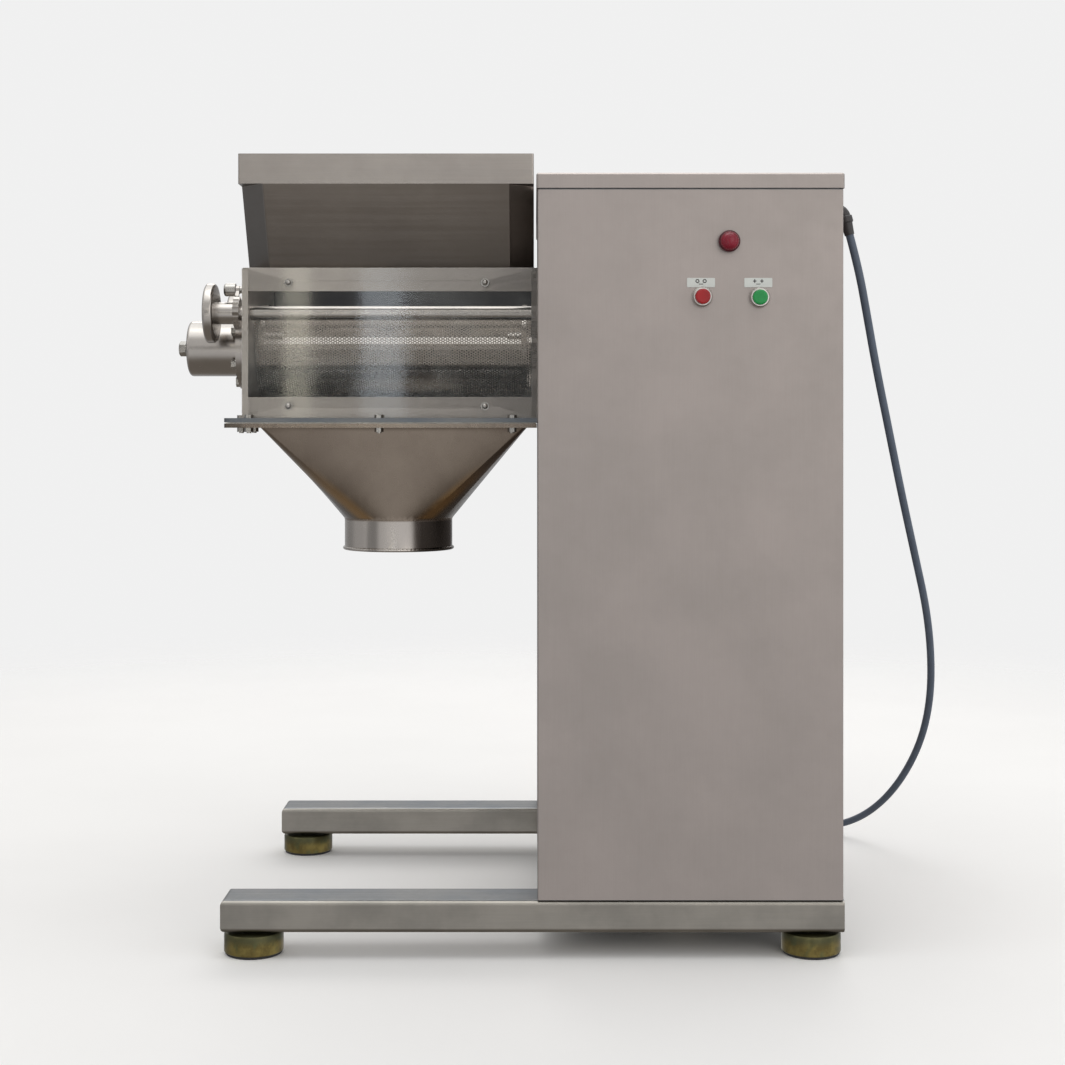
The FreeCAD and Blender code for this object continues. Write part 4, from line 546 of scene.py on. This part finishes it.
# ---- supply lead -------------------------------------------------------------
LEAD_DIAMETER = 0.013
COIL_CENTRE = Vector((0.402, 0.492, 0))
COIL_INNER = 0.068
TURN_PITCH = 0.0132
COIL_OUTER = COIL_INNER + TURN_PITCH
FLOOR_LAYER = 0.0066
TOP_LAYER = FLOOR_LAYER + TURN_PITCH
LEAD_EXIT = Vector((0.57522, -0.262, 1.12516))
LEAD_ROUTE = [
    LEAD_EXIT,
    (0.58945, -0.262, 1.07204),
    (0.606, -0.244, 1.000),
    (0.626, -0.218, 0.915),
    (0.652, -0.184, 0.820),
    (0.683, -0.138, 0.710),
    (0.718, -0.082, 0.600),
    (0.752, -0.020, 0.500),
    (0.775, 0.048, 0.405),
    (0.787, 0.115, 0.320),
    (0.786, 0.182, 0.240),
    (0.770, 0.250, 0.165),
    (0.746, 0.325, 0.100),
    (0.714, 0.405, 0.048),
    (0.668, 0.478, 0.014),
    (0.606, 0.530, 0.0066),
    (0.541, 0.559, 0.0066),
    (0.480, 0.570, 0.0066),
    (0.432, 0.5732, 0.0066),
]
LEAD_TAIL = [(0.392, 0.5732, 0.0198), (0.355, 0.5745, 0.0245), (0.320, 0.5762, 0.029)]
POINTS_PER_TURN = 24
CROSSING = 6                # the last points of a turn, in which it changes place


def coil_turns():
    """Outer then inner turn on the floor, then one on top that ends over the first."""
    points = []
    hold = 1 / math.cos(math.pi / POINTS_PER_TURN)
    for turn in range(3):
        for step in range(POINTS_PER_TURN):
            done = step / POINTS_PER_TURN
            crossing = max(0.0, (step - POINTS_PER_TURN + CROSSING) / CROSSING)
            earlier = min(1.0, max(0.0, (step - POINTS_PER_TURN + 2 * CROSSING + 2) / CROSSING))
            if turn == 0:
                radius, height = COIL_OUTER - TURN_PITCH * crossing, FLOOR_LAYER
            elif turn == 1:
                lift = math.sqrt(1 - (1 - crossing) ** 2)
                radius, height = COIL_INNER, FLOOR_LAYER + TURN_PITCH * lift
            else:
                radius, height = COIL_INNER + TURN_PITCH * earlier, TOP_LAYER
            angle = math.radians(90) + 2 * math.pi * done
            place = COIL_CENTRE + Vector((math.cos(angle), math.sin(angle), 0)) * radius * hold
            place.z = height
            points.append(place)
    return points


def add_lead():
    curve = bpy.data.curves.new("supply_lead", "CURVE")
    curve.dimensions = "3D"
    curve.bevel_depth = LEAD_DIAMETER / 2
    curve.bevel_resolution = 6
    curve.resolution_u = 8
    curve.use_fill_caps = True
    spline = curve.splines.new("NURBS")
    points = [Vector(p) for p in LEAD_ROUTE] + coil_turns() + [Vector(p) for p in LEAD_TAIL]
    spline.points.add(len(points) - 1)
    for control, place in zip(spline.points, points):
        control.co = (*place, 1)
    spline.order_u = 3
    spline.use_endpoint_u = True
    lead = add_object("supply_lead", curve, MATERIALS["cable_rubber"])
    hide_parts("power_cable", "cable_coil")
    return lead


def add_tie(name, angle):
    """A strap buckled round the four turns."""
    out = Vector((math.cos(angle), math.sin(angle), 0))
    along = Vector((-out.y, out.x, 0))
    centre = COIL_CENTRE + out * (COIL_INNER + TURN_PITCH / 2)
    slack = 0.0006
    bend, bottom = 0.0062, 0.001
    reach, top = TURN_PITCH + slack - bend, 2 * TURN_PITCH + slack - bend
    foot = bottom + bend
    corners = [(reach, top, 0), (-reach, top, 90), (-reach, foot, 180), (reach, foot, 270)]
    path = []
    for across, height, start in corners:
        middle = centre + out * across + UP * height
        for part in range(5):
            turn = math.radians(start + part * 22.5)
            up = out * math.cos(turn) + UP * math.sin(turn)
            path.append((middle + up * bend, along, up))
    band = [(-0.0045, 0), (0.0045, 0), (0.0045, 0.0008), (-0.0045, 0.0008)]
    return swept(name, path, band, MATERIALS["dark_plastic"], closed=True)


LEAD = add_lead()
TIES = [add_tie("coil_tie_a", math.radians(205)), add_tie("coil_tie_b", math.radians(330))]


# ---- perforated screen -------------------------------------------------------
SCREEN_PITCH = 0.0046       # from hole to hole up the sheet, where they stand closest
SCREEN_HOLE = 0.0016        # a hole's radius
SCREEN_THICK = 0.001
ROTOR_AXIS = Vector((0, 0, 0.955))


def screen_profile():
    """The sheet's middle line across the chamber as a function of the distance from its lowest point:
    an arc round the rotor, then tangents that lean out to the clamp tubes."""
    top = high("screen_sheet")
    radius = ROTOR_AXIS.z - low("screen_sheet").z - SCREEN_THICK / 2
    edge = Vector((top.y - SCREEN_THICK / 2, top.z - ROTOR_AXIS.z))
    lean = math.atan2(edge.x - radius, edge.y)
    arc = radius * (math.pi / 2 - lean)
    start = Vector((radius * math.cos(lean), -radius * math.sin(lean)))
    straight = (edge - start).length
    heading = (edge - start).normalized()

    def at(distance):
        side = 1 if distance >= 0 else -1
        far = abs(distance)
        if far <= arc:
            turn = far / radius
            y, z = radius * math.sin(turn), -radius * math.cos(turn)
            out = Vector((0, side * math.sin(turn), -math.cos(turn)))
        else:
            y, z = start + heading * (far - arc)
            out = Vector((0, side * heading.y, -heading.x))
        return Vector((0, side * y, ROTOR_AXIS.z + z)), out

    return at, arc + straight


def perforated(name, columns, rows, first_row, last_row, at, half_length, x0):
    """Columns of hexagonal cells with a hole in each, as one closed sheet with real holes."""
    x1 = high("screen_sheet").x
    x_step = (x1 - x0) / columns
    row_step = 2 * half_length / (rows + 0.5)
    work = bmesh.new()
    seen = {}
    half_wide, half_tall = x_step * 2 / 3, row_step / math.sqrt(3)
    half_thick = SCREEN_THICK / 2

    def vertex(x, distance, outside):
        key = (round(x * 2e5), round(distance * 2e5), outside)
        if key not in seen:
            place, out = at(max(-half_length, min(half_length, distance)))
            place.x = min(max(x, x0), x1)
            seen[key] = work.verts.new(place + out * (half_thick if outside else -half_thick))
        return seen[key]

    for column in range(columns):
        cx = x0 + (column + 0.5) * x_step
        for row in range(first_row, last_row):
            middle = -half_length + (row + 0.5 + 0.5 * (column % 2)) * row_step
            corners = []
            rim = []
            for k in range(6):
                turn = math.radians(60 * k)
                corners.append((cx + half_wide * math.cos(turn), middle + half_tall * math.sin(turn)))
                rim.append((cx + SCREEN_HOLE * math.cos(turn), middle + SCREEN_HOLE * math.sin(turn)))
            sides = {}
            for outside in (True, False):
                outer = [vertex(x, d, outside) for x, d in corners]
                inner = [vertex(x, d, outside) for x, d in rim]
                sides[outside] = inner
                for k in range(6):
                    m = (k + 1) % 6
                    loop = [outer[k], outer[m], inner[m], inner[k]]
                    if len(set(loop)) == 4:
                        work.faces.new(loop if outside else loop[::-1])
            for k in range(6):
                m = (k + 1) % 6
                work.faces.new([sides[True][k], sides[True][m], sides[False][m], sides[False][k]])
    border = [edge for edge in work.edges if len(edge.link_faces) == 1]
    partner = {v: seen.get((x, d, False)) for (x, d, outside), v in seen.items() if outside}
    for edge in border:
        a, b = edge.verts
        if partner.get(a) and partner.get(b):
            work.faces.new([a, b, partner[b], partner[a]])
    bmesh.ops.remove_doubles(work, verts=work.verts, dist=1e-6)
    bmesh.ops.recalc_face_normals(work, faces=work.faces)
    mesh = bpy.data.meshes.new(name)
    work.to_mesh(mesh)
    work.free()
    return add_object(name, mesh, MATERIALS["screen_steel"])


def add_screen():
    at, half_length = screen_profile()
    x0 = low("screen_sheet").x
    rows = 2 * round(half_length / SCREEN_PITCH)
    columns = round((high("screen_sheet").x - x0) / (SCREEN_PITCH * math.sqrt(3) / 2))
    front = perforated("screen_front_half", columns, rows, 0, rows // 2, at, half_length, x0)
    perforated("screen_rear_half", columns, rows, rows // 2, rows, at, half_length, x0)
    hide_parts("screen_sheet")


add_screen()


# ---- signs, welds and corner plates ------------------------------------------
MARK_CHAMFER = 0.0001


def ring_mark(name, centre, radius, width, front, material):
    """A raised ring facing the front."""
    path = []
    for k in range(28):
        turn = 2 * math.pi * k / 28
        out = Vector((math.cos(turn), 0, math.sin(turn)))
        path.append((centre + out * radius, out, Vector((0, -1, 0))))
    half, top = width / 2, width / 2 - MARK_CHAMFER
    section = [(-half, 0), (half, 0), (top, front), (-top, front)]
    return swept(name, path, section, material, closed=True)


def bar_mark(name, centre, wide, tall, front, material):
    """A raised bar with chamfered top edges, facing the front."""
    vertices = []
    for y, cut in ((0, 0), (-front, MARK_CHAMFER)):
        for sx, sz in ((-1, -1), (1, -1), (1, 1), (-1, 1)):
            vertices.append(centre + Vector((sx * (wide / 2 - cut), y, sz * (tall / 2 - cut))))
    faces = [(0, 1, 2, 3), (4, 5, 6, 7), (0, 1, 5, 4), (1, 2, 6, 5), (2, 3, 7, 6), (3, 0, 4, 7)]
    return mesh_object(name, vertices, faces, material, smooth=False)


def add_legend_marks():
    """Generic signs: two rings for stop and two crosses for start, each pair over a short rule."""
    front = low("legend_plates").y
    z = high("legend_plates").z - 0.0048
    ink = MATERIALS["dark_plastic"]
    thick = 0.0002
    for name in ("stop", "start"):
        bezel = f"{name}_button_bezel"
        x = (low(bezel).x + high(bezel).x) / 2 - 0.002
        for side, place in (("left", -0.0055), ("right", 0.0055)):
            centre = Vector((x + place, front, z))
            if name == "stop":
                ring_mark(f"{name}_mark_{side}", centre, 0.0024, 0.0014, thick, ink)
            else:
                ahead = centre + Vector((0, -thick / 2, 0))
                bar_mark(f"{name}_mark_{side}", centre, 0.0052, 0.0015, thick, ink)
                bar_mark(f"{name}_mark_{side}_upright", ahead, 0.0015, 0.0056, thick, ink)
        bar_mark(f"{name}_rule", Vector((x, front, z - 0.0046)), 0.0066, 0.0011, thick, ink)


def weld_bead(name, places, closed, radius, material_name):
    """A rippled bead of weld metal that runs along a line of (place, out, up)."""
    path = []
    for k, (place, out, up) in enumerate(places):
        ripple = 1 + 0.14 * math.sin(k * 2.1)
        path.append((place, out * ripple, up * ripple))
    return swept(name, path, circle(radius, 8), MATERIALS[material_name], closed)


def add_welds():
    """The spigot's seam and the hopper's foot."""
    sunk = 0.0004
    foot = Vector((SPIGOT_X, 0, CONE_FOOT))
    around, along = 240, 160
    seam = []
    for k in range(around):
        turn = 2 * math.pi * k / around
        out = Vector((math.cos(turn), math.sin(turn), 0))
        seam.append((foot + out * (SPIGOT_RADIUS - sunk), out, UP))
    weld_bead("spigot_weld", seam, True, 0.0011, "polished_steel")
    x0, x1 = low("hopper").x + HOPPER_CUT, high("hopper").x - HOPPER_CUT
    for name, side in (("front", -1), ("rear", 1)):
        line = []
        for k in range(along + 1):
            place = Vector((x0 + (x1 - x0) * k / along, side * 0.1352, CHAMBER_TOP + 0.0004))
            line.append((place, Vector((0, side, 0)), UP))
        weld_bead(f"hopper_weld_{name}", line, False, 0.0012, "hopper_steel")


def add_corner_plates():
    """Four small triangles that close the chamber's top beside the hopper's cut corners."""
    left, right = low("hopper").x + 0.0004, high("hopper").x - 0.0004
    far, leg = 0.1340, HOPPER_CUT + 0.0002
    vertices, faces = [], []
    for x, along in ((left, 1), (right, -1)):
        for side in (-1, 1):
            y = side * far
            first = len(vertices)
            for z in (CHAMBER_TOP - 0.0015, CHAMBER_TOP + 0.0005):
                vertices += [(x, y, z), (x + along * leg, y, z), (x, y - side * leg, z)]
            a, b, c, d, e, f = range(first, first + 6)
            faces += [(a, b, c), (d, e, f), (a, b, e, d), (b, c, f, e), (c, a, d, f)]
    mesh_object("hopper_corner_plates", vertices, faces, BRIGHT, smooth=False)


add_legend_marks()
add_welds()
add_corner_plates()


# ---- floor and light ---------------------------------------------------------
def add_floor():
    """A round sheet that thins out toward its edge, so it runs into the pale background."""
    paint = Paint("pale floor")
    clouds = paint.between(paint.noise(1.5, 3), 0.3, 0.7)
    paint.set(Base_Color=paint.blend(clouds, (0.81, 0.81, 0.805), (0.83, 0.83, 0.825)), Roughness=0.75)
    paint.set(Specular_IOR_Level=0.15)
    reach = paint.node("ShaderNodeVectorMath", {"operation": "LENGTH"}, Vector=paint.place).outputs["Value"]
    paint.set(Alpha=paint.between(reach, 1.9, 4.2, 1.0, 0.0))
    rim = [(x, y, 0) for x, y in circle(4.4, 120)]
    mesh = bpy.data.meshes.new("floor")
    mesh.from_pydata(rim, [], [tuple(range(len(rim)))])
    floor = bpy.data.objects.new("floor", mesh)
    mesh.materials.append(paint.material)
    bpy.context.scene.collection.objects.link(floor)
    floor.visible_glossy = False


def add_light(name, place, toward, size, power, colour=(1, 1, 1)):
    data = bpy.data.lights.new(name, "AREA")
    data.shape = "RECTANGLE"
    data.size, data.size_y = size
    data.energy = power
    data.color = colour
    light = bpy.data.objects.new(name, data)
    light.location = place
    light.rotation_euler = (Vector(toward) - Vector(place)).to_track_quat("-Z", "Y").to_euler()
    light.visible_camera = False
    bpy.context.scene.collection.objects.link(light)


def add_world():
    """Even pale light. What metal mirrors is a room: pale above and around, dim on the left and low
    behind, with a warm darker ground, and a dim stretch in front of the window."""
    world = bpy.data.worlds.new("studio")
    world.use_nodes = True
    graph = Graph(world.node_tree)
    graph.tree.nodes.clear()

    def background(colour, strength):
        return graph.node("ShaderNodeBackground", Color=rgba(colour), Strength=strength)

    def mixed(factor, first, second):
        made = graph.tree.nodes.new("ShaderNodeMixShader")
        for index, value in enumerate((factor, first.outputs[0], second.outputs[0])):
            graph.tree.links.new(value, made.inputs[index])
        return made

    toward = graph.tree.nodes.new("ShaderNodeTexCoord").outputs["Generated"]
    parts = graph.node("ShaderNodeSeparateXYZ", Vector=toward).outputs
    x, y, z = parts["X"], parts["Y"], parts["Z"]
    aside = graph.between(x, -0.9, -0.1, 0.58, 1.0)
    near_window_x = graph.product(graph.between(x, -0.30, -0.22), graph.between(x, 0.05, -0.01))
    near_window_z = graph.product(graph.between(z, -0.10, -0.03), graph.between(z, 0.17, 0.10))
    dim = graph.product(graph.between(y, 0.0, -0.3), near_window_x, near_window_z)
    behind = graph.product(graph.between(y, 0.15, 0.5), graph.between(z, 0.55, 0.25))
    far = graph.between(behind, 0, 1, 1.0, 0.62)
    level = background((0.97, 0.98, 1.0), graph.product(aside, graph.between(dim, 0, 1, 0.9, 0.2), far))
    above = background((0.98, 0.99, 1.0), 0.9)
    zenith = background((0.95, 0.98, 1.0), 2.3)
    ground = background((1.0, 0.92, 0.83), 0.28)
    room = mixed(graph.between(z, 0.1, 0.7), level, above)
    room = mixed(graph.between(z, 0.6, 0.9), room, zenith)
    room = mixed(graph.between(z, -0.38, -0.8), room, ground)
    rays = graph.tree.nodes.new("ShaderNodeLightPath").outputs
    soft = mixed(rays["Is Glossy Ray"], background((1, 0.99, 0.98), 0.85), room)
    shown = mixed(rays["Is Camera Ray"], soft, background((0.94, 0.94, 0.94), 0.93))
    graph.node("ShaderNodeOutputWorld", Surface=shown.outputs[0])
    bpy.context.scene.world = world


add_floor()
add_world()
WARM = (1.0, 0.96, 0.92)
COOL = (0.90, 0.95, 1.0)
add_light("front panel", (2.6, -5.2, 2.2), (0.3, 0, 0.7), (3.0, 3.4), 34, WARM)
add_light("left strip", (-3.4, -1.6, 1.9), (-0.3, 0, 0.9), (0.7, 2.4), 6)
add_light("right strip", (3.6, -1.2, 1.8), (0.3, 0, 0.9), (0.8, 2.4), 9, COOL)
add_light("top", (0.2, -0.3, 3.8), (0, 0, 1), (3.0, 2.2), 26)
add_light("rear panel", (0.3, 5.2, 4.4), (0, 0, 0.7), (5.0, 2.4), 80, WARM)
for name, x, wide, power, colour in (
    ("left", -0.823, 0.10, 1.6, (1.0, 0.95, 0.78)),
    ("middle", -0.50, 0.16, 2.2, (0.84, 0.92, 1.0)),
):
    add_light(f"window glint {name}", (x, -3.9, 1.15), (x, 0, 1.0), (wide, 1.9), power, colour)

bpy.context.scene.view_settings.view_transform = "Standard"
